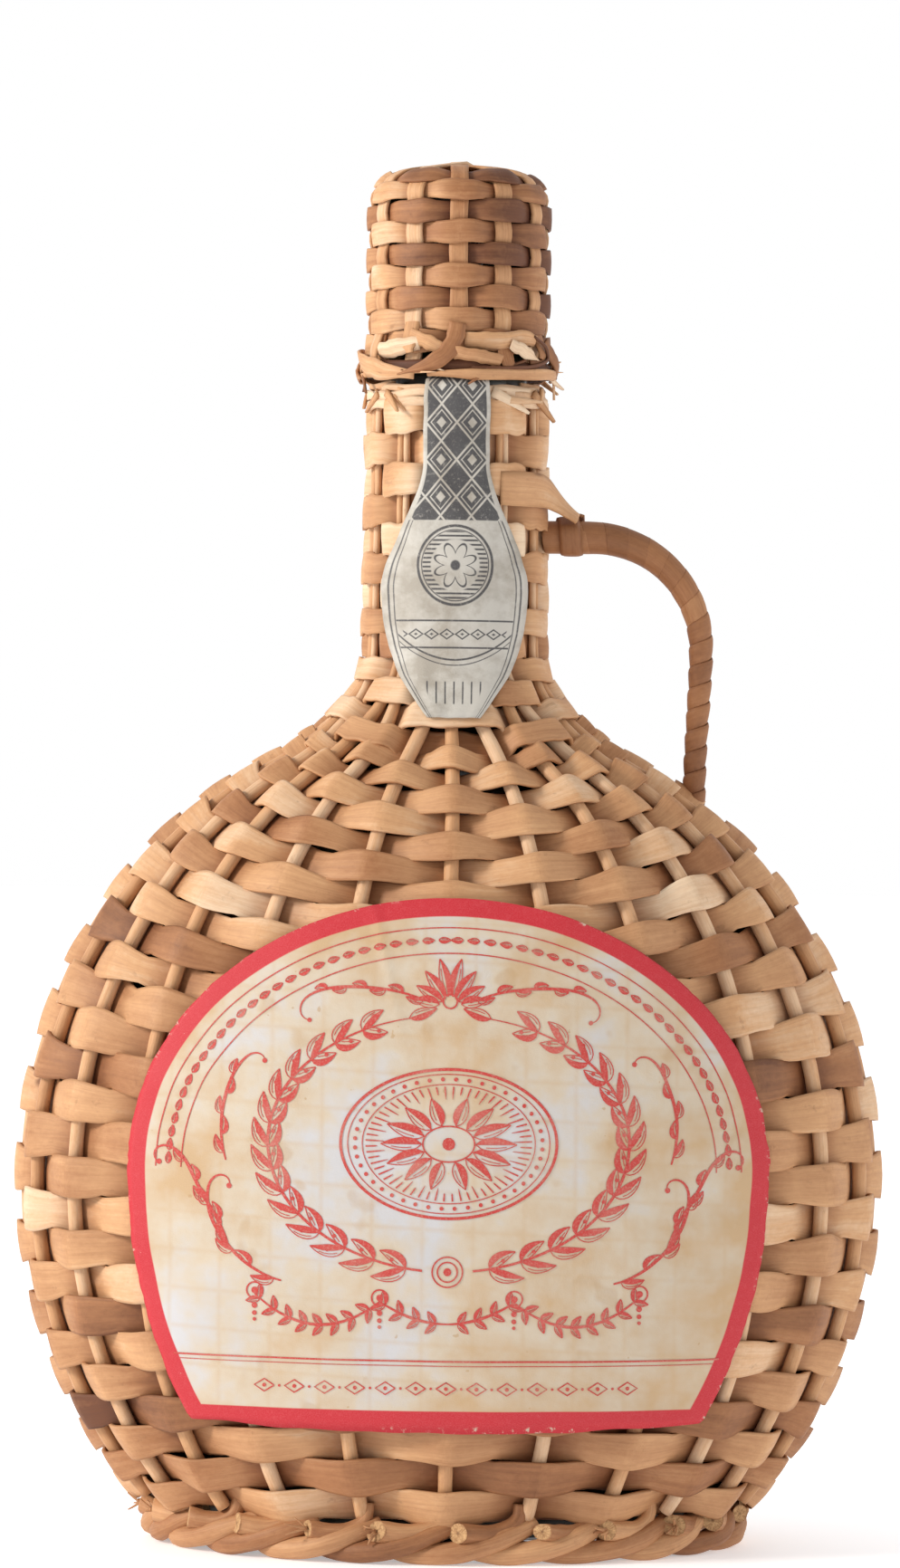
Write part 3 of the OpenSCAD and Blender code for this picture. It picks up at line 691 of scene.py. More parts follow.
def wovenStrip(row):
    rng = random.Random(100 + row)
    onNeck = row < weave["neckRows"]
    kind = "neck" if onNeck else "body"
    marks = stations(crossings(row), strip["steps"], strip[kind + "Dive"])
    breadth = 1 + rng.uniform(-0.05, 0.05)
    shade = strip["tones"][row % len(strip["tones"])] + rng.uniform(-0.05, 0.05)
    shade += 0.1 if onNeck else -0.12 * smooth((row - strip["darkRow"]) / 6)
    seed = rng.uniform(0, 50)

    def point(t, level, bulge, side):
        top, foot = edgeHeight(row, t), edgeHeight(row + 1, t)
        middle = (top + foot) / 2 + strip["drift"] * wobble(t, 3, seed + 1)
        # free of its neighbours a strip is fuller, and most of all where it lies below them
        full = strip[kind + "Bulge"] * bulge ** 0.7 if bulge > 0 else -strip["hiddenBulge"] * bulge
        half = (top - foot) / 2 * breadth * (strip["narrow"] + full)
        half *= 1 + strip["waver"] * wobble(t, 7, seed + (3 if side > 0 else 5)) * 2
        z = clamp(middle + half * side, strip["lowest"], jacket["neckTopZ"] + strip["overNeck"])
        under = 2 * rodDepth(z) - weave["thick"] - strip["slack"]
        depth = mix(under, -strip["proud"], level) + strip["crown"] * side * side
        return shell(z, t, depth + strip["tilt"] * side * wobble(t, 4, seed + 9))

    bm = bmesh.new()
    girth = tau * (neckRadius(jacket["neckTopZ"]) if onNeck else strip["bodyR"])
    stripInto(bm, marks, point, lambda t: shade + strip["mottled"] * wobble(t, 2, seed + 13),
              (girth, 6 * mm), (row * 0.613, row * 0.371))
    n = row + 1 if onNeck else row + 1 - weave["neckRows"]
    pieceFrom(bm, f"{kind}Strip{n:02d}", "jacket", [stripFinish], [f"{kind}_strip_{n:02d}"],
              strip["thick"])


for row in range(weave["neckRows"] + weave["bodyRows"]):
    wovenStrip(row)
print("woven strips:", weave["neckRows"] + weave["bodyRows"])


# Rods

rod = {
    "rings": 120,
    "sides": 10,
    "footZ": 7 * mm,
    "topZ": 203.5 * mm,
    "bulk": 1.04,
    "rough": 0.09,
    "sway": 0.3 * mm,
}


def rodRoute(k, seed):
    points = []
    for i in range(rod["rings"]):
        share = i / (rod["rings"] - 1)
        z = mix(rod["footZ"], rod["topZ"], share - 0.05 * sin(tau * share))
        t = rodAngle(k, z)
        t += rod["sway"] * rough(share * 14, seed, 0) / halfSizes(z)[0]
        points.append(shell(z, t, rodDepth(z)))
    return points


bm = bmesh.new()
for k in range(weave["rods"]):
    seed = k * 3.7
    route = rodRoute(k, seed)

    def thickness(share, angle):
        z = route[round(share * (rod["rings"] - 1))].z
        return rodRadius(z) * (rod["bulk"] + rod["rough"] * bumpy(share, angle, seed, 40))

    tubeInto(bm, route, thickness, rod["sides"], (k * 0.41, k * 0.17),
             tone=0.5 + 0.25 * spread(k))
pieceFrom(bm, "bodyRods", "jacket", [rodFinish], ["body_stakes"])
print("rods:", weave["rods"])


# Border: rods that turn sideways and end in a cut outside, over a lower row of strands

border = {
    "out": 2.2 * mm,
    "rings": 30,
    "straight": 9,
    "straightStep": 0.5 * mm,
    "sides": 12,
    "rough": 0.16,
    "frayed": 4,
    # rods passed sideways, millimetres outwards and up, then the radius at equal steps
    "turn": [(0.0, -1.0, 10.4), (-0.02, -0.7, 8.2), (-0.12, -0.3, 6.5), (-0.32, 0.4, 5.5),
             (-0.56, 1.3, 5.5), (-0.8, 2.4, 6.2), (-0.98, 3.4, 7.0)],
    "turnR": (1.2, 1.3, 1.5, 1.75, 1.8, 1.75),
    "arc": [(-0.95, -2.8, 3.0), (-0.6, -1.1, 2.0), (-0.22, 0.3, 1.9), (0.2, 1.1, 2.5),
            (0.62, 1.0, 3.8), (0.98, 0.2, 5.4), (1.3, -1.3, 6.8)],
    "arcR": (1.2, 1.8, 2.0, 1.95, 1.5),
}


def borderPoint(steps, out, z, k):
    t = (k + steps) * tau / weave["rods"]
    w, d = halfSizes(0)[:2]
    w, d = w + border["out"], d + border["out"]
    c, s = cos(t), sin(t)
    away = Vector((c / w, s / d, 0)).normalized()
    return Vector((w * c, d * s, z * mm)) + away * out * mm, away


def readAlong(values, share):
    # A value between the ones given at equal steps
    place = clamp(share) * (len(values) - 1)
    i = min(int(place), len(values) - 2)
    return mix(values[i], values[i + 1], place - i)


bm = bmesh.new()
splinters = bmesh.new()
for k in range(weave["rods"]):
    rng = random.Random(700 + k)
    for kind, seed in (("arc", k * 2.3 + 50), ("turn", k * 2.3)):
        reach = 1 + rng.uniform(-0.16, 0.16)
        raised = rng.uniform(-0.4, 0.5)
        stout = rng.uniform(0.86, 1.16) if kind == "turn" else 1
        route = spline([borderPoint(steps * reach, out, z + raised * (steps < -0.9), k)[0]
                        for steps, out, z in border[kind]], border["rings"])
        if kind == "turn":
            # the last of it is straight, so that the cut stays clean
            first = border["rings"] - border["straight"]
            straight = aheadAt(route, first - 1)
            for i in range(first, border["rings"]):
                route[i] = route[i - 1] + straight * border["straightStep"]

        def thickness(share, angle):
            uneven = stout + border["rough"] * bumpy(share, angle, seed, 5)
            return readAlong(border[kind + "R"], share) * mm * uneven

        away = borderPoint(border["turn"][-1][0] * reach, 0, 0, k)[1]
        ahead = aheadAt(route, len(route) - 1)
        cut = (away + rng.uniform(0.7, 1.4) * ahead + Vector((0, 0, rng.uniform(-0.2, 0.4)))).normalized()
        tubeInto(bm, route, thickness, border["sides"], (k * 0.3, seed), 1, 0.4 + 0.35 * spread(seed),
                 cut if kind == "turn" else None)
    if k % border["frayed"] in (1, 2):
        for _ in range(5):
            astray = Vector((rng.uniform(-0.6, 0.6), rng.uniform(-0.6, 0.6), rng.uniform(-0.7, 0.4)))
            start = route[-5] + away * rng.uniform(-0.4, 1.2) * mm
            splinterInto(splinters, start, (ahead + astray).normalized(), rng.uniform(1.6, 3.4) * mm,
                         rng.uniform(0.35, 0.8) * mm, rng, away)
for vert in bm.verts:
    vert.co.z = max(vert.co.z, 0.0)
pieceFrom(bm, "baseBorder", "jacket", [borderFinish, endFinish], ["base_border"])
pieceFrom(splinters, "borderSplinters", "jacket", [borderFinish], (), 0.25 * mm)
print("border made")


# Ragged top of the neck weave: thin split sticks wound round it, with broken ends

rim = {
    # start bearing, sweep, height, rise over the sweep, distance out, width, tone
    "wound": [(-250, 300, 203.4, 0.6, 16.3, 1.7, 0.8), (-100, 250, 204.6, -0.3, 16.1, 1.5, 0.7),
              (60, 290, 204.9, 0.7, 16.2, 1.6, 0.85), (-160, 230, 206, -0.4, 15.9, 1.3, 0.75),
              (-40, 260, 206.3, 0.3, 15.7, 1.2, 0.65)],
    # bearing, height, heading round, heading up, length, width
    "broken": [(-141, 205.4, 1, -0.6, 6, 1.4), (-134, 204.6, 1, -0.9, 4.5, 1),
               (-68, 205.4, 1, -0.3, 8.5, 1.9), (-60, 204.2, 1, -0.2, 7.5, 1.5),
               (-34, 205.6, 1, -0.9, 5.5, 1.6), (-22, 206.4, -0.7, -0.8, 5, 1.3),
               (-150, 205.2, -0.8, -0.6, 5, 1.2), (20, 206, 1, 0.2, 6, 1.2),
               (75, 206.2, 1, -0.6, 7, 1.5), (130, 205.8, -1, -0.5, 6, 1.4),
               (170, 206.2, 1, -0.7, 5, 1.2), (100, 205, -0.6, -0.9, 5, 1)],
    "thick": 0.55 * mm,
    "lining": 14.4,
    "points": 70,
}

bm = bmesh.new()
for i, (start, sweep, z, rise, r, wide, tone) in enumerate(rim["wound"]):
    route = []
    for j in range(rim["points"]):
        u = j / (rim["points"] - 1)
        t = radians(start + sweep * u)
        out = r + 0.35 * wobble(t, 4, i + 2) - 0.9 * smooth(1 - 8 * min(u, 1 - u))  # both ends tuck in
        route.append(roundPoint(degrees(t), out, z + rise * u + 0.8 * wobble(t, 2.2, i + 20)))
    ribbonInto(bm, route, lambda u: wide * mm * (1 + 0.4 * rough(u * 14, i * 5.1, 0)), radial, 3,
               (i * 0.7, 0.3), tone, 0.9)
for i, (bearing, z, roundBy, upBy, long, wide) in enumerate(rim["broken"]):
    rng = random.Random(940 + i)
    start = roundPoint(bearing, 16.6, z)
    out = radial(start)
    splinterInto(bm, start, headingAt(out, roundBy, upBy, 0.12), long * mm, wide * mm, rng, out,
                 0.45 + 0.4 * rng.random())
for k in range(weave["rods"]):
    # rod tips stand up between the sticks
    rng = random.Random(960 + k)
    t = degrees(neckAngle(k)) + rng.uniform(-3, 3)
    lean = rng.uniform(-5, 5)
    tall = rng.uniform(0.3, 3)
    route = [roundPoint(t + lean * s * s, 14.9 + 1.1 * s * s, 202.6 + s * (tall + 1.4))
             for s in (0, 0.25, 0.5, 0.75, 1)]
    ribbonInto(bm, route, rng.uniform(1, 1.6) * mm, radial, 2, (k * 0.3, 4), 0.6)
# A dark band of sticks inside the rim, with painted shade from its low lift
route = [roundPoint(5 * j, rim["lining"], 204.4) for j in range(73)]
ribbonInto(bm, route, 4.4 * mm, radial, 2, (5, 5), 0.15, 0.2)
pieceFrom(bm, "neckRim", "jacket", [rodFinish], ["neck_rim"], rim["thick"])
print("neck rim made")


# Cap: flat stakes that cross over the crown, with strips woven round them

cap = {
    "radius": 16.8 * mm,
    "footZ": 210 * mm,
    "topZ": 248.8 * mm,
    "round": 7.4 * mm,
    "slope": radians(10),
    "stakes": 12,
    "rows": 9,
    "stakeWide": 3.2 * mm,
    "stakeDeep": 0.8 * mm,
    "stakeThick": 0.55 * mm,
    "stripDeep": 0.6 * mm,
    "gap": 0.3 * mm,
    "rowFoot": 2.3 * mm,
    "bendWoven": 0.74,
    "slack": 0.5 * mm,
    "sunk": 0.1 * mm,
    "bendSunk": 0.4 * mm,
    "crown": 0.16 * mm,
    "waver": 0.16,
    "drift": 0.45 * mm,
    "tilt": 0.35 * mm,
    "swell": 0.4 * mm,
    "narrow": 0.96,
    "bulge": 0.12,
    "dive": (0.27, 0.86, 0.7),
    "tones": (0.5, 0.66, 0.42, 0.6, 0.36, 0.56, 0.4, 0.62, 0.5),
}
capArc = pi / 2 - cap["slope"]
capCrownR = cap["radius"] - cap["round"] * (1 - cos(capArc))
capStraight = (cap["topZ"] - cap["footZ"] - cap["round"] * sin(capArc)
               - capCrownR * tan(cap["slope"]))
capBendLength = cap["round"] * capArc
capHalf = cap["stakeDeep"] / 2 + cap["gap"] + cap["stripDeep"]
capReach = capStraight + capBendLength + capCrownR / cos(cap["slope"])
capWoven = capStraight + cap["bendWoven"] * capBendLength
capPitch = (capWoven - cap["rowFoot"]) / cap["rows"]


def capPoint(s, t, depth):
    # A point of the cap by its distance up the outside from the lower rim
    bend = clamp((s - capStraight) / capBendLength) * capArc
    past = max(0, s - capStraight - capBendLength)
    r = cap["radius"] - cap["round"] * (1 - cos(bend)) - past * cos(cap["slope"])
    z = cap["footZ"] + min(s, capStraight) + cap["round"] * sin(bend) + past * sin(cap["slope"])
    r -= depth * cos(bend)
    z -= depth * sin(bend)
    return Vector((r * cos(t), r * sin(t), z))


def capStakeAngle(k):
    return back + k * tau / cap["stakes"]


bm = bmesh.new()
for row in range(cap["rows"]):
    seed = random.Random(1200 + row).uniform(0, 60)
    passed = [(capStakeAngle(k), (row + k) % 2 == 1) for k in range(cap["stakes"] + 1)]

    def point(t, level, bulge, side):
        half = capPitch / 2 * (cap["narrow"] + cap["bulge"] * clamp(bulge))
        half *= 1 + cap["waver"] * wobble(t, 4, seed + (1 if side > 0 else 2))
        s = cap["rowFoot"] + (row + 0.5) * capPitch + half * side + cap["drift"] * wobble(t, 1.5, seed)
        under = 2 * capHalf - cap["stripDeep"] - cap["slack"]
        depth = mix(under, cap["sunk"], level) + cap["crown"] * side * side
        depth += cap["bendSunk"] * smooth((s - capStraight) / capBendLength) * level
        return capPoint(s, t, depth + cap["tilt"] * side * wobble(t, 3, seed + 7))

    def shade(t):
        # painted light and shade: lighter on the left, where the key light falls, and darker on the right;
        # darker in front as well
        return cap["tones"][row] + strip["mottled"] * wobble(t, 1.5, seed) - 0.22 * cos(t) + 0.1 * sin(t)

    stripInto(bm, stations(passed, strip["steps"], cap["dive"]), point, shade,
              (tau * cap["radius"], 4 * mm), (row * 0.37, row * 0.21))
pieceFrom(bm, "capStrips", "cap", [capFinish], ["cap_strips"], cap["stripDeep"])

bm = bmesh.new()
for k in range(cap["stakes"] // 2):
    t = capStakeAngle(k)
    across = Vector((-sin(t), cos(t), 0))
    stack = ((k - 2.5) * 0.36 - 0.95) * mm

    def place(u, v):
        # From the rim on one side, over the crown, to the rim on the other
        run = (2 * u - 1) * (capReach - 0.8 * mm)
        heading = t if run < 0 else t + pi
        up = capReach - abs(run)
        # it swells out between the strips that pass over it
        wave = (-1) ** k * cos(pi * ((up - cap["rowFoot"]) / capPitch - 0.5))
        wave *= smooth((capWoven - up) / capPitch)
        centre = capPoint(up, heading, capHalf - cap["stakeThick"] / 2 - cap["swell"] * wave)
        centre.z += stack * smooth(1 - abs(run) / (9 * mm))
        wide = cap["stakeWide"] * (1 + 0.14 * rough(run * 180, k, v))
        return centre + across * ((v - 0.5) * wide + 0.25 * mm * rough(run * 60, k, 5))

    _, faces = gridInto(bm, 90, 4, place, (2 * capReach, cap["stakeWide"]), (k * 0.53, k * 0.77),
                        values=lambda u, v: (0.52 + 0.07 * k + 0.1 * cos(t) * (1 - 2 * u), 1))
    bm.normal_update()
    middle = min(faces, key=lambda f: f.calc_center_median().xy.length)
    if middle.normal.z < 0:
        bmesh.ops.reverse_faces(bm, faces=list(faces))
pieceFrom(bm, "capStakes", "cap", [capFinish], ["cap_stakes"], cap["stakeThick"])

# Its torn rim: strips that break and flare, and stake ends folded out over them
capRim = {
    # stops of bearing, distance out and height, then width, tone and the share of the width at each end
    "bands": [
        ([(-194, 17, 211.9), (-168, 17.9, 211), (-150, 18.3, 209.9), (-136, 18.3, 208.9),
          (-116, 17.9, 208)], 4, 0.72, (1, 0.4)),
        ([(-148, 17.3, 212.4), (-131, 17.9, 213), (-113, 17.6, 213.7)], 3.1, 1, (0.2, 0.8)),
        ([(-119, 17.8, 215.4), (-109, 18.1, 214.1), (-99, 17.7, 212.8)], 2.7, 0.66, (1, 0.8)),
        ([(-90, 17.3, 217.5), (-92, 17.9, 214.4), (-98, 18.4, 211.4), (-109, 18.6, 209.5),
          (-126, 18.4, 208.3)], 3.1, 0.46, (1, 0.1)),
        ([(-93, 17.6, 211.9), (-79, 18, 211.5), (-64, 17.8, 210.6)], 2.4, 0.62, (1, 0.9)),
        ([(-86, 17.1, 214.4), (-66, 17.3, 214.1), (-50, 17.7, 215), (-37, 17.4, 214.6)],
         3.2, 0.74, (1, 0.7)),
        ([(-58, 17.9, 213.8), (-49, 18.2, 212.5), (-36, 17.9, 211.2)], 2.2, 1, (0.8, 0.1)),
        ([(-40, 17.9, 215.6), (-29, 18.2, 213.6), (-27, 18.3, 211.6), (-40, 18.2, 210.2),
          (-60, 18.3, 209.6), (-82, 18.2, 209.4)], 0.8, 0.05, (0.6, 0.4)),
        ([(-108, 17.6, 208.2), (-80, 17.9, 208.2), (-52, 17.9, 208.5), (-24, 18.2, 208.9),
          (12, 17.6, 209)], 2, 0.62, (0.4, 0.8)),
        ([(-24, 17.3, 215), (-16, 18, 212.4), (-10, 18.3, 210), (-4, 18, 208.8)], 2.2, 0.4, (0.9, 0.2)),
        ([(-12, 17.1, 211.3), (20, 17.8, 210.5), (58, 18, 208.7)], 3.4, 0.5, (0.8, 0.4)),
        ([(34, 17.8, 208.8), (70, 17.9, 210.5), (98, 17.2, 211.8)], 3.2, 0.7, (0.3, 1)),
        ([(84, 17.9, 213.2), (108, 18.1, 210.2), (150, 18, 208.5)], 3.6, 0.55, (1, 0.4)),
        ([(62, 17.6, 208.6), (110, 17.7, 208.5), (150, 17.6, 208.7), (200, 17.5, 208.8)],
         2, 0.66, (0.4, 0.5)),
        ([(128, 17.4, 209.2), (150, 18, 210.8), (176, 17.4, 212.6)], 2.8, 0.85, (0.3, 0.9)),
        ([(150, 17.8, 214.2), (160, 18.2, 211.2), (176, 18.2, 209), (190, 17.9, 208.4)],
         2.9, 0.45, (1, 0.2)),
    ],
    # stake, turn round while it folds, height of its foot, whether it goes on over the rim
    "folded": [(0, 14, 208.6, 1), (1, -16, 209.4, 1), (2, 8, 208.4, 0), (3, -22, 209, 1),
               (4, 6, 211.5, 0), (5, 2, 212.5, 0), (7, 2, 209.6, 0), (8, -4, 212, 0),
               (9, -10, 209.4, 0), (10, 18, 208.8, 1), (11, -14, 209, 1)],
    # share of the turn, distance out, height over the foot, and how much lower or higher it may be
    "fold": [(0, 15.9, 6, 0, 0), (0, 16.6, 4, 0, 0), (0.1, 17.4, 1.9, 0, 0), (0.35, 17.9, 0.6, 0, 0)],
    "foldOver": [(0.7, 18.1, 0.1, -0.4, 0.6), (1, 18, 0, -0.4, 0.8), (1.4, 17.7, 0, -0.5, 1.2)],
    "foldShort": [(0.6, 17.9, -0.4, 0, 0)],
    "thick": 0.45 * mm,
    "hem": (16.9, 209.9),
}
bm = bmesh.new()
for i, (stops, wide, tone, taper) in enumerate(capRim["bands"]):
    route = []
    for j, stop in enumerate(spline([Vector(stop) for stop in stops], 28)):
        kink = 0.25 * rough(j / 7, i * 3.3, 0)
        route.append(roundPoint(stop.x, stop.y + kink, stop.z + 1.3 * kink))

    def tornWidth(u):
        ragged = 1 + 0.16 * rough(u * 9, i * 4.7, 0)
        first, last = mix(taper[0], 1, smooth(4 * u)), mix(taper[1], 1, smooth(2.5 * (1 - u)))
        return wide * mm * ragged * first * last

    ribbonInto(bm, route, tornWidth, lambda p, u: radial(p) + Vector((0, 0, -0.3)), 4, (i * 0.4, 2), tone,
               1, 0.15 * mm)
# A dark band round the cap's lower edge, with painted shade from its low lift
route = []
for j in range(73):
    t = radians(5 * j)
    r, z = capRim["hem"]
    route.append(roundPoint(5 * j, r + 0.3 * wobble(t, 2, 3), z + 0.6 * wobble(t, 2, 8)))
ribbonInto(bm, route, 2.2 * mm, radial, 3, (3, 3), 0.1, 0.3)
for k, turn, foot, over in capRim["folded"]:
    rng = random.Random(1450 + k)
    at = degrees(capStakeAngle(k))
    route = []
    for share, r, up, low, high in capRim["fold"] + capRim["foldOver" if over else "foldShort"]:
        stray = rng.uniform(low, high) if high else 0
        route.append(roundPoint(at + share * turn, r, foot + up + stray))
    # painted light and shade: each folded stake is lighter on the left, where the key light falls, and
    # darker on the right
    ribbonInto(bm, spline(route, 26),
               lambda u: 2.9 * mm * (1 - 0.5 * smooth((u - 0.5) * 2) + 0.1 * rough(u * 7, k * 2.9, 0)),
               radial, 3, (k * 0.3, 9), 0.6 - 0.2 * cos(radians(at)), 1, 0.05 * mm)
    for _ in range(2):
        start = roundPoint(at + rng.uniform(-16, 16), 17.5, 209.3 + rng.uniform(-0.8, 2.8))
        out = radial(start)
        heading = headingAt(out, rng.choice((-1, 1)), rng.uniform(-0.8, 0.3), rng.uniform(0.02, 0.14))
        splinterInto(bm, start, heading, rng.uniform(3, 6) * mm, rng.uniform(0.4, 1.1) * mm, rng, out,
                     rng.choice((0.95, 0.8, 0.25)))
pieceFrom(bm, "capRim", "cap", [capFinish], ["cap_rim"], capRim["thick"])
print("cap made")


# Handle: a core with a strip wound round it

handle = {
    "z": 180.3 * mm,
    "x": 44.4 * mm,
    "bend": 19.8 * mm,
    "startX": 17 * mm,
    "topD": 3.6 * mm,
    "footD": 2 * mm,
    "inside": 1.5 * mm,
    "tuck": 3.2 * mm,
    "pitch": 3.9 * mm,
    "girth": 15 * mm,
    "lean": 0.9 * mm,
    "leanOver": 24 * mm,
    "perTurn": 24,
    "lap": 1.08,
    "thick": 0.5 * mm,
    "radii": (2.95, 2.95, 2.8, 2.6, 2.4, 2.25, 2.15, 2.08, 2.05, 2.02, 2.0),
    "seams": (0.0, 0.0, 0.0, 0.01, 0.05, 0.2, 0.34, 0.38, 0.38, 0.38, 0.38),
    "collarX": 19.1 * mm,
    "collarW": 4.1 * mm,
}
handleFootZ = jacket["bellyZ"] + jacket["rise"] * sqrt(
    1 - ((handle["x"] - handle["footD"] / 2) / (jacket["width"] / 2)) ** 2)
handleRun = handle["x"] - handle["bend"] - handle["startX"]
handleArc = handle["bend"] * pi / 2
handleLength = handleRun + handleArc + (handle["z"] - handle["bend"] - handleFootZ)


def handleAt(s):
    # The handle's middle, and the direction of its outer side, at a distance along it
    a = clamp((s - handleRun) / handleArc) * pi / 2
    x = handle["startX"] + min(s, handleRun) + handle["bend"] * sin(a)
    z = handle["z"] - handle["bend"] + handle["bend"] * cos(a) - max(0, s - handleRun - handleArc)
    x -= handle["lean"] * smooth((s - handleRun - handleArc) / handle["leanOver"])
    return Vector((x, 0, z)), Vector((sin(a), 0, cos(a)))


bm = bmesh.new()
route = [handleAt(mix(-handle["inside"], handleLength + handle["tuck"], i / 60))[0] for i in range(61)]
tubeInto(bm, route, lambda s, a: mix(handle["topD"], handle["footD"], s) / 2, 10, tone=0.3)
pieceFrom(bm, "handleCore", "jacket", [handleFinish], ["handle_core"])

wrapTurns = (handleLength + handle["inside"] + handle["tuck"]) / handle["pitch"]


def alongWrap(turns, v):
    # Distance along the handle, as each turn laps over the one before
    return (turns + (v - 0.5) * handle["lap"]) * handle["pitch"]


def wrapPoint(u, v):
    turns = u * wrapTurns
    v -= 0.14 * sin(tau * v)
    s = clamp(alongWrap(turns, v) - handle["inside"], -handle["inside"], handleLength + handle["tuck"])
    point, up = handleAt(s)
    share = s / handleLength
    seam = readAlong(handle["seams"], share)
    r = readAlong(handle["radii"], share) + seam * (0.5 - v) - 0.75 * seam * abs(2 * v - 1) ** 6
    r *= 1 + mix(0.01, 0.05, share) * rough(turns * 1.3, v, 4)
    angle = turns * tau
    return point + r * mm * (cos(angle) * Vector((0, 1, 0)) + sin(angle) * up)


def wrapTone(u, v):
    shade = 0.5 + 0.14 * rough(u * 7, 0, 0) + 0.1 * (1 - u)
    # the lift gives painted shade in the seams between turns, mostly on the lower part of the handle
    return shade, 0.5 + 0.5 * smooth(5 * min(v, 1 - v) + 2.4 * (0.62 - u))


def wrapUv(u, v):
    return u * wrapTurns * handle["girth"], v * handle["pitch"]


bm = bmesh.new()
_, faces = gridInto(bm, int(wrapTurns * handle["perTurn"]), 7, wrapPoint, values=wrapTone, uvAt=wrapUv)
uv = bm.loops.layers.uv.verify()
for face in faces:
    # in the upper half the fibres run along the handle and hide the seams
    if min(loop[uv].uv.x for loop in face.loops) < wrapUv(0.5, 0)[0]:
        for loop in face.loops:
            turns, v = loop[uv].uv.x / handle["girth"], loop[uv].uv.y / handle["pitch"]
            loop[uv].uv = (alongWrap(turns, v), abs(turns % 1 - 0.5) * handle["girth"])
pieceFrom(bm, "handleWrap", "jacket", [handleFinish], ["handle_wrap"], handle["thick"])


def collarPoint(u, v):
    # A short strip rolled round the handle beside the neck
    angle = mix(-1.3, tau * 1.25, u)
    r = 3.35 + 0.8 * u + 0.22 * sin(2 * angle + 0.6) + 0.14 * sin(5 * angle) - 0.25 * (2 * v - 1) ** 4
    x = handle["collarX"] + (v - 0.5) * handle["collarW"] * mix(1, 0.9, u) + handle["collarW"] / 2
    x += 0.3 * mm * sin(angle + 1) - 2.1 * mm * smooth(1 - 1.5 * u)
    return Vector((x, r * cos(angle) * mm, handle["z"] + 0.2 * mm + r * sin(angle) * mm))


bm = bmesh.new()
# the lift gives painted shade along the roll's edges
gridInto(bm, 72, 6, collarPoint, (25 * mm, handle["collarW"]), (0.2, 0.4),
         lambda u, v: (0.42 + 0.1 * u, 0.6 + 0.4 * smooth(6 * min(v, 1 - v))))
pieceFrom(bm, "handleCollar", "jacket", [handleFinish], ["handle_collar"], 0.55 * mm)

# The tie comes round the neck and folds down over the roll
tie = {
    # bearing, distance out, height, how far its face turns up
    "route": [(-62, 17, 188.3, 0), (-50, 17.3, 188.3, 0), (-38, 17.5, 188.3, 0),
              (-29, 17.7, 188.2, 0), (-21, 18, 187.8, 0.05), (-14, 18.9, 186.7, 0.15),
              (-9.5, 20.5, 185.2, 0.35), (-7.5, 22.3, 183.8, 0.7)],
    "wide": (6, 6.2, 6.2, 6, 5.5, 4.6, 3.9, 3.3),
    "thick": 0.6 * mm,
}
bm = bmesh.new()
tilts = [stop[3] for stop in tie["route"]]
route = spline([roundPoint(*stop[:3]) for stop in tie["route"]], 44)
ribbonInto(bm, route, lambda u: readAlong(tie["wide"], u) * mm,
           lambda p, u: radial(p) + Vector((0, -0.6, 1)) * readAlong(tilts, u), 5,
           (0.9, 0.1), 0.66, 1, 0.15 * mm)
pieceFrom(bm, "handleTie", "jacket", [stripFinish], ["handle_tie"], tie["thick"])
print("handle made")


# Papers

label = {
    "half": 55.5 * mm,
    "midZ": 68.7 * mm,
    "arch": 47 * mm,
    "footZ": 24.5 * mm,
    "taper": 72 * mm,
    "gap": 0.3 * mm,
    "thick": 0.25 * mm,
    "red": "#c0202c",
    "rubbed": "#cf5a60",
    "print": "#c03833",
    "paper": "#cbbca7",
    "aged": "#c3a47e",
    "white": "#c7c5c6",
    "stain": "#b18a5a",
    "band": 3.1,
    "proud": 0.4 * mm,
    "inkLift": 0.09 * mm,
    "inkThick": 0.03 * mm,
}


def labelHalf(z):
    reach = label["arch"] if z > label["midZ"] else label["taper"]
    return label["half"] * sqrt(max(0, 1 - ((z - label["midZ"]) / reach) ** 2))


def highest(*masks):
    # Where any of the masks is printed
    made = masks[0]
    for mask in masks[1:]:
        made = made.maths("MAXIMUM", mask)
    return made


def ruled(value, half, soft=0.06):
    # A line where the value is nil
    return abs(value).below(half, soft)


def cells(value, size):
    # Repeats every size, counted from the middle of each
    return ((value / size).maths("FRACT") - 0.5) * size


